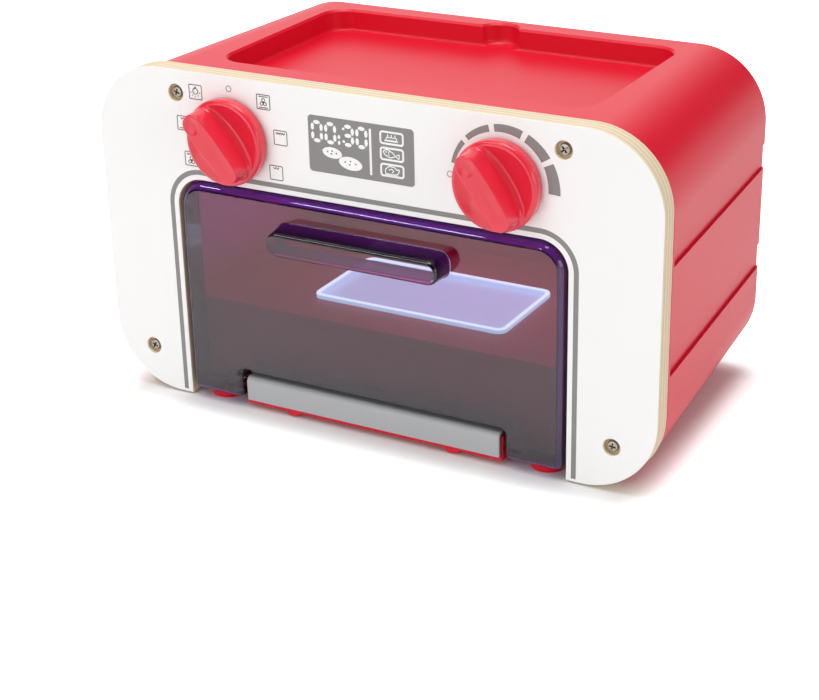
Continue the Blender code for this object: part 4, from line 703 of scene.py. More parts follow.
def dish_signs():
    """Three framed signs at the right of the clock: a cake, a fish and a roast."""
    parts = [frame_stroke(16.78, z, DISH_FRAME, 0.95, 1) for z in (153.6, 145.95, 138.2)]
    parts.append(film(box_outline(13.0, 20.2, 151.95, 152.75, 0.38, 5), 1))
    cake = [(13.9, 152.4, 0), (14.1, 153.9, 0.3), (19.3, 153.9, 0.3), (19.5, 152.4, 0)]
    parts.append(stroke(cake, WHITE_LINE, 1))
    parts += [straight((x, 153.9), (x, 155.35), WHITE_LINE, 1) for x in (14.8, 16.7, 18.6)]
    fish = [(12.1, 147.1, 0.6), (14.2, 148.2, 1.5), (17.3, 146.7, 1.5), (18.7, 145.3, 0.2),
            (20.4, 144.0, 0.3), (20.7, 146.6, 0.3), (18.7, 145.3, 0.2), (15.9, 144.2, 1.5),
            (13.1, 145.4, 1.5)]
    parts.append(stroke(fish, WHITE_LINE, 1, True, 6))
    gill = [(15.4, 147.3, 0), (15.0, 146.2, 0.5), (15.3, 145.2, 0)]
    parts += [dot((13.9, 146.9), 0.42, 1), stroke(gill, HAIR, 1)]
    roast = [(13.2, 136.5, 0.6), (13.2, 138.7, 1.2), (15.3, 140.2, 1.0), (18.0, 139.9, 0.8),
             (19.4, 138.6, 0.4), (20.6, 139.9, 0.4), (20.4, 138.2, 0.4), (19.4, 136.6, 1.2),
             (17.0, 136.3, 0.6)]
    parts.append(stroke(roast, WHITE_LINE, 1, True, 6))
    leg = [(15.0, 138.3, 0), (16.4, 139.0, 0.6), (17.9, 137.9, 0.5), (16.6, 137.3, 0)]
    return parts + [stroke(leg, FIRM, 1), straight((13.0, 135.95), (20.3, 135.95), HAIR, 1)]


class TOYOVEN_OT_print(bpy.types.Operator):
    """Prints the stripe round the door, the scales, the signs and the clock"""
    bl_idname = "toyoven.print"
    bl_label = "Print"

    def execute(self, context):
        grey = screen_ink("grey_screen_ink", looks().print_colour)
        white = screen_ink("white_screen_ink", linear("#FDFDFD"))
        dark = screen_ink("dark_screen_ink", linear("#5A5656"))
        stripe = stroke(STRIPE, STRIPE_WIDTH, steps=24)
        display = film(box_outline(*DISPLAY))
        divider = stroke(DISPLAY_DIVIDER, 1.15, 1)
        biscuits = [dot((-15.15, 142.28), 5.3, 1, 0.5, -0.08), dot((-5.4, 138.35), 6.3, 1, 0.5, -0.1)]
        crumbs = [dot(spot, 0.5, 2, 0.8) for spot in CRUMBS]
        for name, parts, ink in (
                ("sign_print", programme_signs(), dark),
                ("grey_print", [stripe] + power_scale() + [display], grey),
                ("white_print", clock() + dish_signs() + [divider] + biscuits, white),
                ("print_crumbs", crumbs, grey)):
            dress(mesh_object(name, parts), ink, "body")
        return {"FINISHED"}


# Screws

HEAD_DEPTH = 0.7  # of a head's face behind the panel's
SCREW_TURNS = (0.3, 0.9, 0.5, 0.15)  # of the crosses, in radians
# Radius, and depth behind the head's face
HEAD_PROFILE = [(0.4, 0), (1.6, 0.02), (2.4, 0.25), (2.75, 0.7), (2.85, 1.2), (2.85, 1.75),
                (1.6, 1.75), (1.6, 14)]
CROSS_ARM = [(0.42, 1.75), (0.42, 0.42), (1.75, 0.42)]
CROSS_SHARES = [[1.0], [1.0], [0.45]]
CROSS_DEPTHS = [[-1], [0.1], [1.3]]


def screw_head(x, z):
    """A pan head and its shank: a profile turned round the screw's axis."""
    return turned(np.array(HEAD_PROFILE) + (0, HEAD_DEPTH), 40, (x, z))


def screw_cross(x, z, turn):
    """A tapered cross: the outline of two crossed bars, drawn in towards the bottom."""
    quarters = [np.array(CROSS_ARM) @ np.array([[math.cos(a), -math.sin(a)], [math.sin(a), math.cos(a)]])
                for a in np.arange(4) * math.pi / 2 + turn]
    u, v = np.concatenate(quarters).T
    return solid(front(x + u * CROSS_SHARES, HEAD_DEPTH + np.array(CROSS_DEPTHS), z + v * CROSS_SHARES))


class TOYOVEN_OT_screws(bpy.types.Operator):
    """Builds the four cross-head screws of the panel"""
    bl_idname = "toyoven.screws"
    bl_label = "Panel screws"

    def execute(self, context):
        steel = plated_steel()
        for number, (spot, turn) in enumerate(zip(SCREWS, SCREW_TURNS), 1):
            screw = mesh_object(f"cross_head_screw_{number}", [screw_head(*spot)])
            reshape(screw, "DIFFERENCE", [screw_cross(*spot, turn)])
            dress(screw, steel, "body", [f"panel_screw_{number}"])
        return {"FINISHED"}


# Housing

HOUSING_FRONT = 10.9
HOUSING_BACK = 159.7
HOUSING_TOP = 169.0
HOUSING_FOOT = 1.6
HOUSING_CORNER = 36.2
HOUSING_TAPER = 10.4  # what each side draws in by from front to back
HOUSING_RISE = 2.4  # what its underside rises by
BACK_ROUND = 4.0
WALL = 2.5
CLEAR = 3.0  # how far a cut runs past the surface that it opens
RECESS = (-99.1, 99.1, 31.9, 143.8)
RECESS_CORNER = 13.0
RECESS_DEEP = 11.3
RECESS_ROUND = 1.6
NOTCH_AT = (0, 140.3)
NOTCH_RADIUS = 11.0
RIM_FLARE = 1.1
GROOVE_LEDGES = (56.52, 109.44)
GROOVE_HIGH = 12.8
GROOVE_ENDS = (13, 164)
GROOVE_INSETS = [[1.4], [0.2], [-0.3], [-CLEAR]]
# Boxes cut out of the housing: their outline, as for box_outline, and the depths they run between
POCKET = (-33.8, 33.8, 23.6, 92.0, 4.0, 6), 137.6, 170
CELL_BAY = (-28.85, 28.85, 30.2, 77.0, 0.5, 3), 139.4, 165
COVER_SEAT = (-33.65, 33.65, 25.4, 88.0, 3.0, 8), 157.9, 165
DOOR_ROOM = (-105.3, 105.3, -1.0, 23.0, 1.0, 3), 8, 14.1
FOOT_HALF = 91.0
FOOT_TOPS = ((12, 2.2), (141.7, 4.5))  # depth and upper end of a front foot and a rear foot
FOOT_PROFILE = [(7.9, -1), (8.3, -0.85), (8.5, -0.5)]
NUB_RADIUS = 5.41
NUB_LOW = 0.4  # how far a nub reaches below the panel's lower edge


def housing_half(depth):
    """Half the housing's width: it draws in evenly from front to back."""
    return PANEL_HALF - HOUSING_TAPER * (depth - HOUSING_FRONT) / (HOUSING_BACK - HOUSING_FRONT)


def housing_rows(rows):
    """Cross sections (depth, inset) of the housing: a rounded box whose sides draw in and whose
    underside rises evenly with depth."""
    depth, inset = np.asarray(rows, float).T
    foot = HOUSING_FOOT + HOUSING_RISE * (depth - HOUSING_FRONT) / (HOUSING_BACK - HOUSING_FRONT)
    corner = np.maximum(HOUSING_CORNER - inset, 1.0)
    half = housing_half(depth) - inset
    return solid(soft_box_rows(depth, half, foot + inset, HOUSING_TOP - inset, corner, 20))


def box_cutter(outline, start, end):
    """A rounded box between two depths."""
    return slab(box_outline(*outline), start, end)


def flare_rows():
    """Heights and growth of a rim that opens at 45 degrees, in steps that widen as a cosine."""
    growth = RIM_FLARE * (1 - np.cos(np.linspace(0, math.pi / 2, 7)))
    return HOUSING_TOP - RIM_FLARE + growth, growth


def recess_cutter(grow=0.0):
    """The top recess: a rounded box with a quarter round at its floor and a flared rim. Grown,
    it is plain, and is what the hollow of the housing leaves standing."""
    left, right, near, far = RECESS
    outline = box_outline(left - grow, right + grow, near - grow, far + grow, RECESS_CORNER + grow, 14)
    floor = HOUSING_TOP - RECESS_DEEP - grow
    if grow:
        return slab(outline, floor, HOUSING_TOP + CLEAR, upright)
    height, growth = flare_rows()
    rim = np.stack([height, -growth], 1)
    rows = np.concatenate([quarter(floor, 0, RECESS_ROUND, 1), rim, [(HOUSING_TOP + CLEAR, -RIM_FLARE)]])
    return solid(stack_rows(outline, rows, upright))


def notch_cutter(grow=0.0):
    """The finger notch: an upright cylinder with a scooped foot and a flared rim."""
    floor = HOUSING_TOP - RECESS_DEEP
    above = HOUSING_TOP + CLEAR
    if grow:
        radius = NOTCH_RADIUS + grow
        return turned([(radius, floor - grow), (radius, above)], 64, NOTCH_AT, "z")
    scoop = [(7.0, floor - 0.01), (9.2, floor + 0.5), (10.5, floor + 1.6), (NOTCH_RADIUS, floor + 3)]
    height, growth = flare_rows()
    rim = np.stack([NOTCH_RADIUS + growth, height], 1)
    return turned(np.concatenate([scoop, rim, [(NOTCH_RADIUS + RIM_FLARE, above)]]), 64, NOTCH_AT, "z")


def groove_cutter(side, ledge):
    """A side groove: its outline (depth, height) carried from the groove's floor outwards."""
    start, end = GROOVE_ENDS
    top = ledge + GROOVE_HIGH
    corners = [(start, ledge, 0.4), (end, ledge, 0.4), (end, top, 0.4), (start, top, 8.0)]
    depth, height = rounded(corners, 10)[0].T
    return solid(front(side * (housing_half(depth) - GROOVE_INSETS), depth, height))


def sill_block():
    """The sill behind the trim: its side view (depth, height) carried across the opening."""
    outline = rounded([(0.6, 1.6, 0.3), (17, 1.6, 0.2), (17, 4.0, 0.2), (11.2, 4.0, 0.2), (11.2, 14.1, 0.3),
                       (1.7, 14.1, 0.7), (1.7, 3.3, 0.1), (0.6, 3.3, 0.3)], 4)
    across = [(-72.0, 0), (-71.7, 0), (71.7, 0), (72.0, 0)]
    return solid(stack_rows(outline, across, sideways))


def sill_nub(x):
    """A half-round nub under the sill's lip: an arc carried backwards."""
    angle = np.radians(np.linspace(-50.9, 50.9, 17))
    u = np.concatenate([NUB_RADIUS * np.sin(angle), [4.2, -4.2]])
    v = np.concatenate([NUB_RADIUS * (1 - np.cos(angle)) - NUB_LOW, [2.1, 2.1]])
    return solid(front(x + u, np.array([[0.9], [1.1], [9.1]]), v))


class TOYOVEN_OT_housing(bpy.types.Operator):
    """Builds the red housing with its recess, finger notch, side grooves, sill and feet"""
    bl_idname = "toyoven.housing"
    bl_label = "Housing"

    def execute(self, context):
        back = quarter(HOUSING_BACK, 0, BACK_ROUND, -1, 8)[::-1]
        shell = housing_rows([(HOUSING_FRONT, 0.25), (HOUSING_FRONT + 0.25, 0), *back])
        inside = housing_rows([
            (HOUSING_FRONT - CLEAR, WALL), (HOUSING_BACK - 4, WALL), (HOUSING_BACK - WALL, 4)])
        housing = mesh_object("red_housing", [shell])
        hollow = mesh_object("housing_hollow", [inside])
        reshape(hollow, "DIFFERENCE", [recess_cutter(WALL)], [notch_cutter(WALL)], [box_cutter(*POCKET)])
        reshape(housing, "DIFFERENCE", hollow, [recess_cutter()], [notch_cutter()])
        grooves = [groove_cutter(side, ledge) for side in (-1, 1) for ledge in GROOVE_LEDGES]
        boxes = [[box_cutter(*cut)] for cut in (CELL_BAY, COVER_SEAT, DOOR_ROOM)]
        reshape(housing, "DIFFERENCE", grooves, *boxes)
        # Satin: the mould's skin spreads the lamps into broad, soft highlights
        red = moulded_abs("satin_red_abs", looks().housing_colour, 0.35)
        dress(housing, red, "body", ["housing"])
        feet = [turned([*FOOT_PROFILE, (FOOT_PROFILE[-1][0], top)], 64, (x, depth), "z")
                for x in (-FOOT_HALF, FOOT_HALF) for depth, top in FOOT_TOPS]
        sill = [sill_block(), sill_nub(-44.8), sill_nub(44.8)]
        dress(mesh_object("sill_and_feet", sill + feet), red, "body")
        return {"FINISHED"}


TRIM_HALF = 71.0
TRIM_EASE = 0.45
# Side view of the trim: depth, height, radius
TRIM_SIDE = [(-0.6, 3.6, 0.5), (1.4, 3.6, 0.2), (1.4, 14.4, 1.0), (9.6, 14.4, 0.2), (9.6, 16.4, 0.4),
             (-0.6, 16.4, 3.0)]


class TOYOVEN_OT_sill_trim(bpy.types.Operator):
    """Builds the silver trim in the door's notch"""
    bl_idname = "toyoven.sill_trim"
    bl_label = "Sill trim"

    def execute(self, context):
        rows = eased(-TRIM_HALF, TRIM_HALF, TRIM_EASE)
        trim = mesh_object("silver_sill_trim", [solid(stack_rows(rounded(TRIM_SIDE, 10), rows, sideways))])
        # Silver paint: fine flakes under a clear film, a pale grey that shines softly
        silver = moulded_abs("silver_painted_abs", looks().trim_colour, 0.34, 0.4, 0.003)
        dress(trim, silver, "body", ["sill_trim"])
        return {"FINISHED"}


# Door

DOOR_HALF = 104.2
DOOR_LOW = 3.3
DOOR_HIGH = 116.0
DOOR_CORNER = 13.4
DOOR_FOOT_CORNER = 4.0
DOOR_NOTCH = (72.8, 18.0, 2.0)  # half width, height, corner
DOOR_FACE = -1.8
DOOR_ROUND = 3.5
DOOR_WALL = 2.4
DOOR_BACK_ROWS = [(12.9, 0), (13.2, 0.3), (13.2, 2.1), (12.9, DOOR_WALL)]
CREASE = math.radians(28)
HANDLE_HALF = 46.7
HANDLE_LOW, HANDLE_HIGH = 90.5, 104.1
HANDLE_CORNER = 5.6
HANDLE_FACE = -14.0
HANDLE_ROUND = 1.1
HANDLE_ROOT = 0.4
HANDLE_WALL = 1.8
HANDLE_DRAFTED = 11.1  # how far forwards its sides draw in
HANDLE_DRAFTS = (-0.5, 0.3, -1.5)  # how its half width, foot and top change from root to face
BOSS_AT = (5.2, 10.4)
BOSS = [(5.0, 74.0), (5.0, 82.5), (4.7, 82.8)]
BOSS_BORE = [(2.3, 70.8), (2.3, 84.8)]


def door_outline():
    """The door from the front: a rounded sheet with a wide notch in its lower edge."""
    notch_half, notch_high, notch_corner = DOOR_NOTCH
    half = [(notch_half, DOOR_LOW, DOOR_FOOT_CORNER), (DOOR_HALF, DOOR_LOW, DOOR_FOOT_CORNER),
            (DOOR_HALF, DOOR_HIGH, DOOR_CORNER)]
    mirrored = [(-u, v, radius) for u, v, radius in reversed(half)]
    notch = [(-notch_half, notch_high, notch_corner), (notch_half, notch_high, notch_corner)]
    return rounded(half + mirrored + notch, 14)


def creased_round(face, inset, steps):
    """Rows (depth, inset) of an arc that leaves the flat face with a crease of 28 degrees and
    ends along the side: its radius is the inset over one less the sine of the crease."""
    radius = inset / (1 - math.sin(CREASE))
    a = np.linspace(CREASE, math.pi / 2, steps + 1)
    return np.stack([face + radius * (math.cos(CREASE) - np.cos(a)), radius * (1 - np.sin(a))], 1)


def handle_rows(depth, grow):
    """Rounded boxes of the handle at those depths, each grown on all sides: its half width, its
    foot and its top change evenly from the root to the face."""
    share = np.clip((DOOR_FACE - depth) / HANDLE_DRAFTED, 0, 1)
    half, low, high = (size + draft * share for size, draft in zip(
        (HANDLE_HALF, HANDLE_LOW, HANDLE_HIGH), HANDLE_DRAFTS))
    return solid(soft_box_rows(depth, half + grow, low - grow, high + grow, HANDLE_CORNER + grow, 12))


def handle_body():
    """The handle's outside, grown at the root by a small hollow round and drawn in at the
    front by a creased one."""
    a = np.radians(np.linspace(0, 90, 6))
    root = np.stack([DOOR_FACE - HANDLE_ROOT * (1 - np.cos(a)), HANDLE_ROOT * (1 - np.sin(a))], 1)
    edge = creased_round(HANDLE_FACE, HANDLE_ROUND, 5)[::-1] * (1, -1)
    sides = [(-5.0, 0), (-9.0, 0)]
    return handle_rows(*np.concatenate([[(0.4, HANDLE_ROOT)], root, sides, edge]).T)


def handle_hollow():
    """The hollow in the handle: the same boxes, a wall's thickness inside it all round."""
    rows = [(2.6, -HANDLE_WALL), (DOOR_FACE, -HANDLE_WALL), (-11.6, -HANDLE_WALL), (-12.2, -2.3)]
    return handle_rows(*np.array(rows).T)


class TOYOVEN_OT_door(bpy.types.Operator):
    """Builds the smoked door pan with its moulded handle and hinge bosses"""
    bl_idname = "toyoven.door"
    bl_label = "Door"

    def execute(self, context):
        inner = quarter(0.6, DOOR_WALL, 1.6, 1, 5)[::-1]
        rows = np.concatenate([creased_round(DOOR_FACE, DOOR_ROUND, 12), DOOR_BACK_ROWS, inner])
        door = mesh_object("smoked_door", [solid(stack_rows(door_outline(), rows))])
        bosses, bores = ([turned(np.array(profile) * (1, side), steps, BOSS_AT, "x") for side in (-1, 1)]
                         for profile, steps in ((BOSS, 48), (BOSS_BORE, 32)))
        reshape(door, "UNION", [handle_body()])
        reshape(door, "DIFFERENCE", [handle_hollow()])
        reshape(door, "UNION", bosses)
        reshape(door, "DIFFERENCE", bores)
        smoked = smoked_styrene(looks().smoke_colour, looks().rim_tint_and_glow)
        dress(door, smoked, "door", ["door"], 22)
        return {"FINISHED"}


# Knobs

POINTER_RADIUS, TAIL_RADIUS = 5.3, 5.0
POINTER_REACH, TAIL_REACH = 14.3, 14.0
GRIP_BULGE = 0.6
GRIP_FACE = 18.0
GRIP_DRAFT = 0.45
GRIP_FOOT = 4.0
FACE_DIP = 0.45
DISC_RADIUS = 21.3
DISC_HIGH = 7.6
DISH_RADIUS = 19.1
DISH_DEEP = 3.1
DISC_ROUND = 2.2
KNOB_HOLLOW = ((21.0, 1.1), (20.8, 0.9), (18.6, 0.9), (18.6, 2.7))  # radius, height
DIMPLE_RADIUS, DIMPLE_DEEP, DIMPLE_UP = 4.2, 1.1, 13.6


def grip_outline(side_steps=30, end_steps=17):
    """The grip seen from the front: an arc at the pointer, an arc at the tail, and sides that
    bulge by half a sine wave between them. Its normals are its tangents, turned."""
    turn = np.linspace(0, math.pi, end_steps)
    share = np.linspace(0, 1, side_steps + 2)[1:-1]
    half = POINTER_RADIUS + (TAIL_RADIUS - POINTER_RADIUS) * share + GRIP_BULGE * np.sin(share * math.pi)
    side = np.stack([-half, POINTER_REACH - (POINTER_REACH + TAIL_REACH) * share], 1)
    arc = np.stack([np.cos(turn), np.sin(turn)], 1)
    points = np.concatenate([
        arc * POINTER_RADIUS + (0, POINTER_REACH), side,
        -arc * TAIL_RADIUS - (0, TAIL_REACH), side[::-1] * (-1, 1)])
    ahead = unit(np.roll(points, -1, 0) - np.roll(points, 1, 0))
    return points, np.stack([ahead[:, 1], -ahead[:, 0]], 1)


def knob_place(label):
    """What puts a shape drawn round a knob's axis, pointer up, on its switch: a turn to its
    resting angle, and a move."""
    x, z, pointer = KNOBS[label]
    turn = math.radians(pointer - 90)
    cos, sin = math.cos(turn), math.sin(turn)

    def place(u, depth, v):
        """The same shape, turned and moved."""
        return front(x + u * cos - v * sin, depth, z + u * sin + v * cos)
    return place


def knob_base(r):
    """Height of the knob's disc above the panel: a cubic dish, then a quarter-round rim."""
    dish = DISC_HIGH - DISH_DEEP * (1 - (np.minimum(r, DISH_RADIUS) / DISH_RADIUS) ** 3)
    fall = np.sqrt(np.clip(1 - ((r - DISH_RADIUS) / DISC_ROUND) ** 2, 0, 1))
    return np.where(r <= DISH_RADIUS, dish, DISC_HIGH - DISC_ROUND * (1 - fall))


def knob_surface(place, edge):
    """The whole knob as one surface of rays that leave the grip's outline at right angles.

    Inwards from the outline the rows close the grip's front, which dips a little in its tail
    half. Outwards they round the front edge, run down the grip's wall, turn into the dish by a
    quarter round whose radius shrinks where the disc's edge is near, and follow the disc over
    its rim to the hollow in its back.
    """
    points, normals = grip_outline()
    even = np.zeros(len(points))
    across = (points * normals).sum(1)
    square = (points ** 2).sum(1)

    def way(r):
        """How far along its ray a point lies at radius r: the root of a quadratic."""
        return -across + np.sqrt(np.maximum(across ** 2 - square + r ** 2, 0))

    def out(t):
        """The point that far along each ray."""
        return points + t[:, None] * normals

    def radius_at(t):
        """Its distance from the knob's axis."""
        return np.linalg.norm(out(t), axis=1)

    middle = np.stack([even, np.clip(points[:, 1], -TAIL_REACH, POINTER_REACH)], 1)
    dip = FACE_DIP / (1 + np.exp((points[:, 1] - 2.0) / 2.5))
    face = out(even - edge)
    rows = [(face + f * (middle - face), GRIP_FACE - dip * (1 - (1 - f) ** 2))
            for f in (0.97, 0.8, 0.6, 0.4, 0.25)]
    for a in np.radians(np.linspace(0, 90, 7)):
        rows.append((out(even - edge * (1 - math.sin(a))), even + GRIP_FACE - edge * (1 - math.cos(a))))
    foot = GRIP_FOOT * (1 - np.exp(-0.2 * (way(DISC_RADIUS) - GRIP_DRAFT)))
    knee = knob_base(radius_at(even + GRIP_DRAFT)) + foot
    for f in (0.3, 0.6, 0.85):
        rows.append((out(even + GRIP_DRAFT * f), (GRIP_FACE - edge) * (1 - f) + knee * f))
    for a in np.radians(np.linspace(0, 90, 10)):
        t = GRIP_DRAFT + foot * (1 - math.cos(a))
        rows.append((out(t), knob_base(radius_at(t)) + foot * (1 - math.sin(a))))
    start = radius_at(GRIP_DRAFT + foot)
    crest = np.maximum(DISH_RADIUS, start + 0.1)
    disc = [start + (crest - start) * f for f in (0.25, 0.5, 0.75, 1.0)]
    disc += [crest + (DISC_RADIUS - crest) * math.sin(a) for a in np.radians((15, 30, 45, 60, 75, 90))]
    rows += [(out(way(r)), knob_base(r)) for r in disc]
    rows += [(out(way(r)), even + height) for r, height in KNOB_HOLLOW]
    flat = np.stack([row for row, _ in rows])
    height = np.stack([level for _, level in rows])
    return solid(place(flat[..., 0], -height, flat[..., 1]))


def knob_dimple(place):
    """The dimple at the pointer's end: a cap of a sphere."""
    sphere = (DIMPLE_RADIUS ** 2 + DIMPLE_DEEP ** 2) / (2 * DIMPLE_DEEP)
    angle = np.arange(48) / 48 * TAU
    r = DIMPLE_RADIUS * np.linspace(1, 0.02, 8)[:, None]
    depth = np.sqrt(sphere ** 2 - r ** 2) - (sphere - DIMPLE_DEEP) - GRIP_FACE
    r = np.concatenate([[[DIMPLE_RADIUS + 0.4]], r])
    depth = np.concatenate([[[-GRIP_FACE - 0.3]], depth])
    return solid(place(r * np.cos(angle), depth + 0 * angle, DIMPLE_UP + r * np.sin(angle)))


class TOYOVEN_OT_knobs(bpy.types.Operator):
    """Builds the two grip knobs at their resting angles"""
    bl_idname = "toyoven.knobs"
    bl_label = "Knobs"

    def execute(self, context):
        # Polished in the mould: a tight, bright highlight over a warm red
        red = moulded_abs("glossy_red_abs", looks().knob_colour, 0.3, 0.8, 0.003, 0.6)
        for label in KNOBS:
            place = knob_place(label)
            knob = mesh_object(f"red_knob_{label}", [knob_surface(place, looks().knob_edge / MM)])
            reshape(knob, "DIFFERENCE", [knob_dimple(place)])
            dress(knob, red, f"knob_{label}", [f"knob_{label}"], 21)
        return {"FINISHED"}


# Cavity

PLATE_BOX = (-54, 54, 39, 96, 5.0, 10)
# Height and inset of the plate's rows: its foot, its wall, the rim round its top and the recess in it
PLATE_ROWS = [(45.7, 3.1), (48.3, 3.1), (48.3, 0.0), (50.2, 0.0), (50.55, 0.15), (50.7, 0.5), (50.7, 1.6),
              (50.6, 1.95), (50.3, 2.2), (47.7, 4.4), (47.4, 4.6), (PLATE_FLOOR, 5.0)]


class TOYOVEN_OT_cavity(bpy.types.Operator):
    """Builds the lit plate in the cavity's floor"""
    bl_idname = "toyoven.cavity"
    bl_label = "Lit plate"

    def execute(self, context):
        plate = mesh_object("lit_plate", [solid(stack_rows(box_outline(*PLATE_BOX), PLATE_ROWS, upright))])
        dress(plate, lit_opal(looks().glow_strength), "body", ["light_plate"])
        return {"FINISHED"}


# Pieces that keep their plain solids, and the material of each. The longest beginning that
# fits a piece's name counts.

PLAIN = {
    "cavity_liner": "liner_red_abs", "battery_cover": "satin_red_abs",
    "light_box": "white_abs", "board_spacer": "white_abs", "rotary_switch": "black_abs",
    "led_board": "green_solder_mask", "control_board": "green_solder_mask",
    "led_": "clear_lamp_epoxy", "battery_": "plain_cell_sleeve",
    **dict.fromkeys(("hinge_pin", "knob_shaft", "battery_cover_screw", "liner_screw", "light_box_screw",
                     "board_screw", "battery_contact"), "zinc_plated_steel"),
}


class TOYOVEN_OT_inner_pieces(bpy.types.Operator):
    """Gives the pieces inside and behind their materials"""
    bl_idname = "toyoven.inner_pieces"
    bl_label = "Inner pieces"

    def execute(self, context):
        # Seen through the smoked door, the liner is the warm ground behind the plate
        moulded_abs("liner_red_abs", linear("#DE2C54"), 0.4)
        # Plain moulded parts, with a dull sheen
        moulded_abs("white_abs", linear("#E8E8E6"), 0.45)
        moulded_abs("black_abs", linear("#1C1C1E"), 0.45)
        # Lacquer over a board: a smooth, deep green
        new_material("green_solder_mask", linear("#1F6B3A"), 0.3)
        # Cast epoxy: a milky white lamp with a wet shine
        new_material("clear_lamp_epoxy", linear("#F4F6FA"), 0.1)
        # Shrunk film round a cell: dark grey and slightly shiny
        new_material("plain_cell_sleeve", linear("#3A3C42"), 0.3)
        for name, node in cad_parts.items():
            beginnings = [beginning for beginning in PLAIN if name.startswith(beginning)]
            if beginnings and not node.hide_render:
                node.data.materials.clear()
                node.data.materials.append(bpy.data.materials[PLAIN[max(beginnings, key=len)]])
        return {"FINISHED"}


# Stage, in metres and watts

# Size, power, place and colour of each lamp. All but the last aim at the oven's middle
LAMPS = {
    "top_softbox": ((1.0, 0.8), 12.5, (0.05, -0.02, 1.6), "#FFFFFF"),
    "front_softbox": ((1.5, 1.2), 8.3, (-0.6, -1.8, 0.55), "#FFFFFF"),
    "right_softbox": ((1.0, 0.6), 4.5, (1.6, -0.5, 0.5), "#FFFFFF"),
    "strip_light": ((1.6, 0.06), 6.5, (-0.8, -0.65, 1.5), "#FFFFFF"),
    "cavity_glow": ((0.10, 0.05), 0.8, (0.010, -0.002, 0.0532), "#5921FF"),
}
OVEN_MIDDLE = (0, 0, 0.08)
FLOOR_HALF = 5.0
SHADOW_HALF = (0.130, 0.074, 0.0)  # half the ground that keeps its shadow in full
SHADOW_FADE = 0.032
MIRRORED_SHARE = 0.3
WORLD_LIGHT = 0.38
SENSOR_WIDTH = 36.0
LENS = 82.74
# The camera's axes and place, found from the straight edges of the panel and the housing
VIEW_RIGHT = (0.87313, 0.48700, -0.02177)
VIEW_UP = (-0.18321, 0.36920, 0.91111)
VIEW_BACK = (0.45175, -0.79153, 0.41158)
VIEW_PLACE = (0.4263, -0.77665, 0.4179)


def seen_directly(tree):
    """One for what the camera, a reflection or a view through clear plastic shows, and otherwise nought."""
    path = add(tree, "ShaderNodeLightPath")
    either = {0: path.outputs["Is Camera Ray"], 1: path.outputs["Is Glossy Ray"]}
    seen = add(tree, "ShaderNodeMath", either, operation="MAXIMUM")
    return add(tree, "ShaderNodeMath", {0: seen, 1: path.outputs["Is Transmission Ray"]}, operation="MAXIMUM")


def pale_floor():
    """A matt white paper floor, which keeps the oven's shadow and is otherwise as white as the
    surroundings: what it adds rises smoothly with the distance from the oven's footprint."""
    half = FLOOR_HALF
    corners = np.array([(-half, -half, 0), (half, -half, 0), (half, half, 0), (-half, half, 0)], float)
    floor = mesh_object("pale_floor", [(corners, [np.array([[0, 1, 2, 3]])])])
    material, tree, shader = new_material("pale_floor", linear("#F7F6F6"), 0.9)
    seen = seen_directly(tree)
    where = add(tree, "ShaderNodeTexCoord")
    out_of = add(tree, "ShaderNodeVectorMath", {0: where.outputs["Object"]}, operation="ABSOLUTE")
    beyond = add(tree, "ShaderNodeVectorMath", {0: out_of, 1: SHADOW_HALF}, operation="SUBTRACT")
    beyond = add(tree, "ShaderNodeVectorMath", {0: beyond, 1: (0, 0, 0)}, operation="MAXIMUM")
    away = add(tree, "ShaderNodeVectorMath", {0: beyond}, operation="LENGTH")
    far = add(tree, "ShaderNodeMapRange", {
        "Value": away, "From Max": SHADOW_FADE}, interpolation_type="SMOOTHSTEP")
    path = add(tree, "ShaderNodeLightPath")
    straight_on = path.outputs["Is Camera Ray"]
    share = add(tree, "ShaderNodeMix", {0: straight_on, 2: MIRRORED_SHARE, 3: 1.0}, data_type="FLOAT")
    shown = add(tree, "ShaderNodeMath", {0: seen, 1: share}, operation="MULTIPLY")
    level = add(tree, "ShaderNodeMath", {0: shown, 1: far}, operation="MULTIPLY")
    glow = add(tree, "ShaderNodeEmission", {"Color": (1, 1, 1, 1), "Strength": level})
    both = add(tree, "ShaderNodeAddShader", {0: shader.outputs[0], 1: glow})
    feed(tree, tree.nodes["Material Output"], {"Surface": both})
    floor.data.materials.append(material)


def white_surroundings():
    """Even light from all round. What is seen of it is white near the horizon, and above it
    dark but for its back left quarter, so that the housing's top reflects a bright wall."""
    world = bpy.data.worlds.new("white_surroundings")
    world.use_nodes = True
    tree = world.node_tree
    seen = seen_directly(tree)
    where = add(tree, "ShaderNodeTexCoord")
    aim = add(tree, "ShaderNodeSeparateXYZ", {"Vector": where.outputs["Generated"]})
    left = add(tree, "ShaderNodeMapRange", {
        "Value": aim.outputs["X"], "From Min": -0.3, "From Max": 0.1, "To Min": 1.0, "To Max": 0.0})
    behind = add(tree, "ShaderNodeMapRange", {"Value": aim.outputs["Y"], "From Min": 0.1, "From Max": 0.5})
    wall = add(tree, "ShaderNodeMath", {0: left, 1: behind, 2: 0.02}, operation="MULTIPLY_ADD")
    rise = add(tree, "ShaderNodeMapRange", {"Value": aim.outputs["Z"], "From Min": 0.02, "From Max": 0.15})
    shown = add(tree, "ShaderNodeMix", {0: rise, 2: 1.0, 3: wall}, data_type="FLOAT")
    level = add(tree, "ShaderNodeMix", {0: seen, 2: WORLD_LIGHT, 3: shown}, data_type="FLOAT")
    feed(tree, tree.nodes["Background"], {"Color": (1, 1, 1, 1), "Strength": level})
    bpy.context.scene.world = world


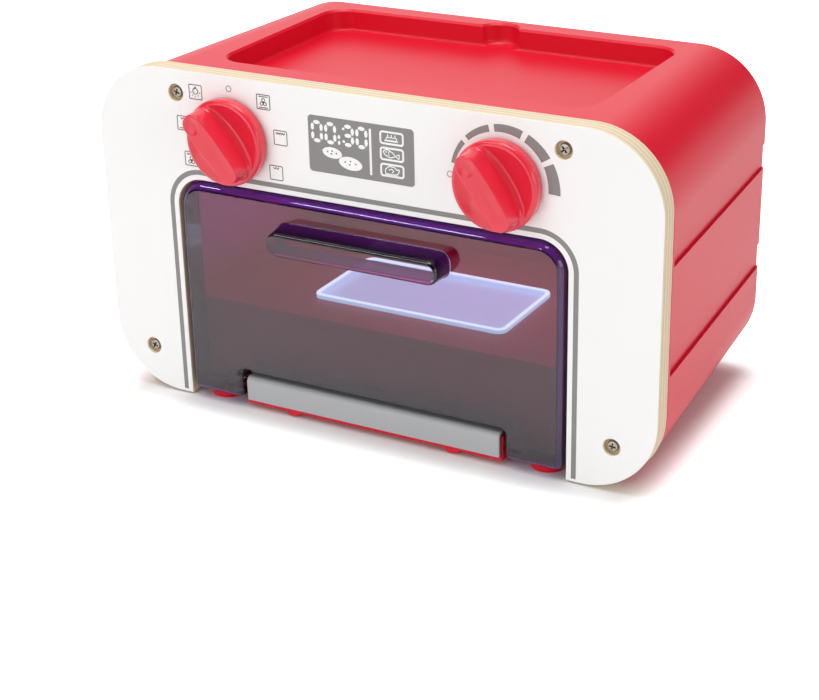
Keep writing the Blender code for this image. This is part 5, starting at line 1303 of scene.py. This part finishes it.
def soft_lamp(name, size, power, place, colour):
    """A rectangular lamp that aims from its place at the oven's middle."""
    lamp = bpy.data.lights.new(name, "AREA")
    lamp.shape = "RECTANGLE"
    lamp.size, lamp.size_y = size
    lamp.energy = power
    lamp.color = linear(colour)
    obj = linked(name, lamp)
    obj.location = place
    aim = Vector(OVEN_MIDDLE) - Vector(place)
    obj.rotation_euler = aim.to_track_quat("-Z", "Y").to_euler()
    return obj


def photo_camera():
    """The camera at the photograph's place and angle."""
    view = bpy.data.cameras.new("photo_view")
    view.sensor_width = SENSOR_WIDTH
    view.lens = LENS
    camera = linked("photo_view", view)
    camera.matrix_world = Matrix([*zip(VIEW_RIGHT, VIEW_UP, VIEW_BACK, VIEW_PLACE), (0, 0, 0, 1)])
    return camera


class TOYOVEN_OT_stage(bpy.types.Operator):
    """Sets the pale floor, the soft lamps, the white surroundings and the camera"""
    bl_idname = "toyoven.stage"
    bl_label = "Stage"

    def execute(self, context):
        scene = context.scene
        scene.view_settings.view_transform = "Standard"
        pale_floor()
        white_surroundings()
        lamps = [soft_lamp(name, *values) for name, values in LAMPS.items()]
        # The last one lies over the lit plate, shines up, and lights without being seen
        glow = lamps[-1]
        glow.rotation_euler = (math.pi, 0, 0)
        glow.visible_glossy = glow.visible_transmission = glow.visible_camera = False
        scene.camera = photo_camera()
        return {"FINISHED"}


class TOYOVEN_PT_pieces(bpy.types.Panel):
    """Lists the oven's looks and the steps that build them"""
    bl_idname = "TOYOVEN_PT_pieces"
    bl_label = "Toy oven"
    bl_space_type = "VIEW_3D"
    bl_region_type = "UI"
    bl_category = "Toy oven"

    def draw(self, context):
        column = self.layout.column()
        for name in ToyOvenLooks.__annotations__:
            column.prop(context.scene.toy_oven_looks, name)
        for step in STEPS:
            column.operator(step.bl_idname)


STEPS = (
    TOYOVEN_OT_front_panel, TOYOVEN_OT_print, TOYOVEN_OT_screws, TOYOVEN_OT_housing, TOYOVEN_OT_sill_trim,
    TOYOVEN_OT_door, TOYOVEN_OT_knobs, TOYOVEN_OT_cavity, TOYOVEN_OT_inner_pieces, TOYOVEN_OT_stage,
)
CLASSES = (ToyOvenLooks, *STEPS, TOYOVEN_PT_pieces)


def register():
    """Makes the looks, the steps and their panel known to Blender."""
    for cls in CLASSES:
        bpy.utils.register_class(cls)
    bpy.types.Scene.toy_oven_looks = PointerProperty(type=ToyOvenLooks)


def unregister():
    """Takes them away again, in the opposite order."""
    del bpy.types.Scene.toy_oven_looks
    for cls in reversed(CLASSES):
        bpy.utils.unregister_class(cls)


def main():
    """Builds the whole scene."""
    register()
    for step in STEPS:
        group, name = step.bl_idname.split(".")
        getattr(getattr(bpy.ops, group), name)()


if __name__ == "__main__":
    main()
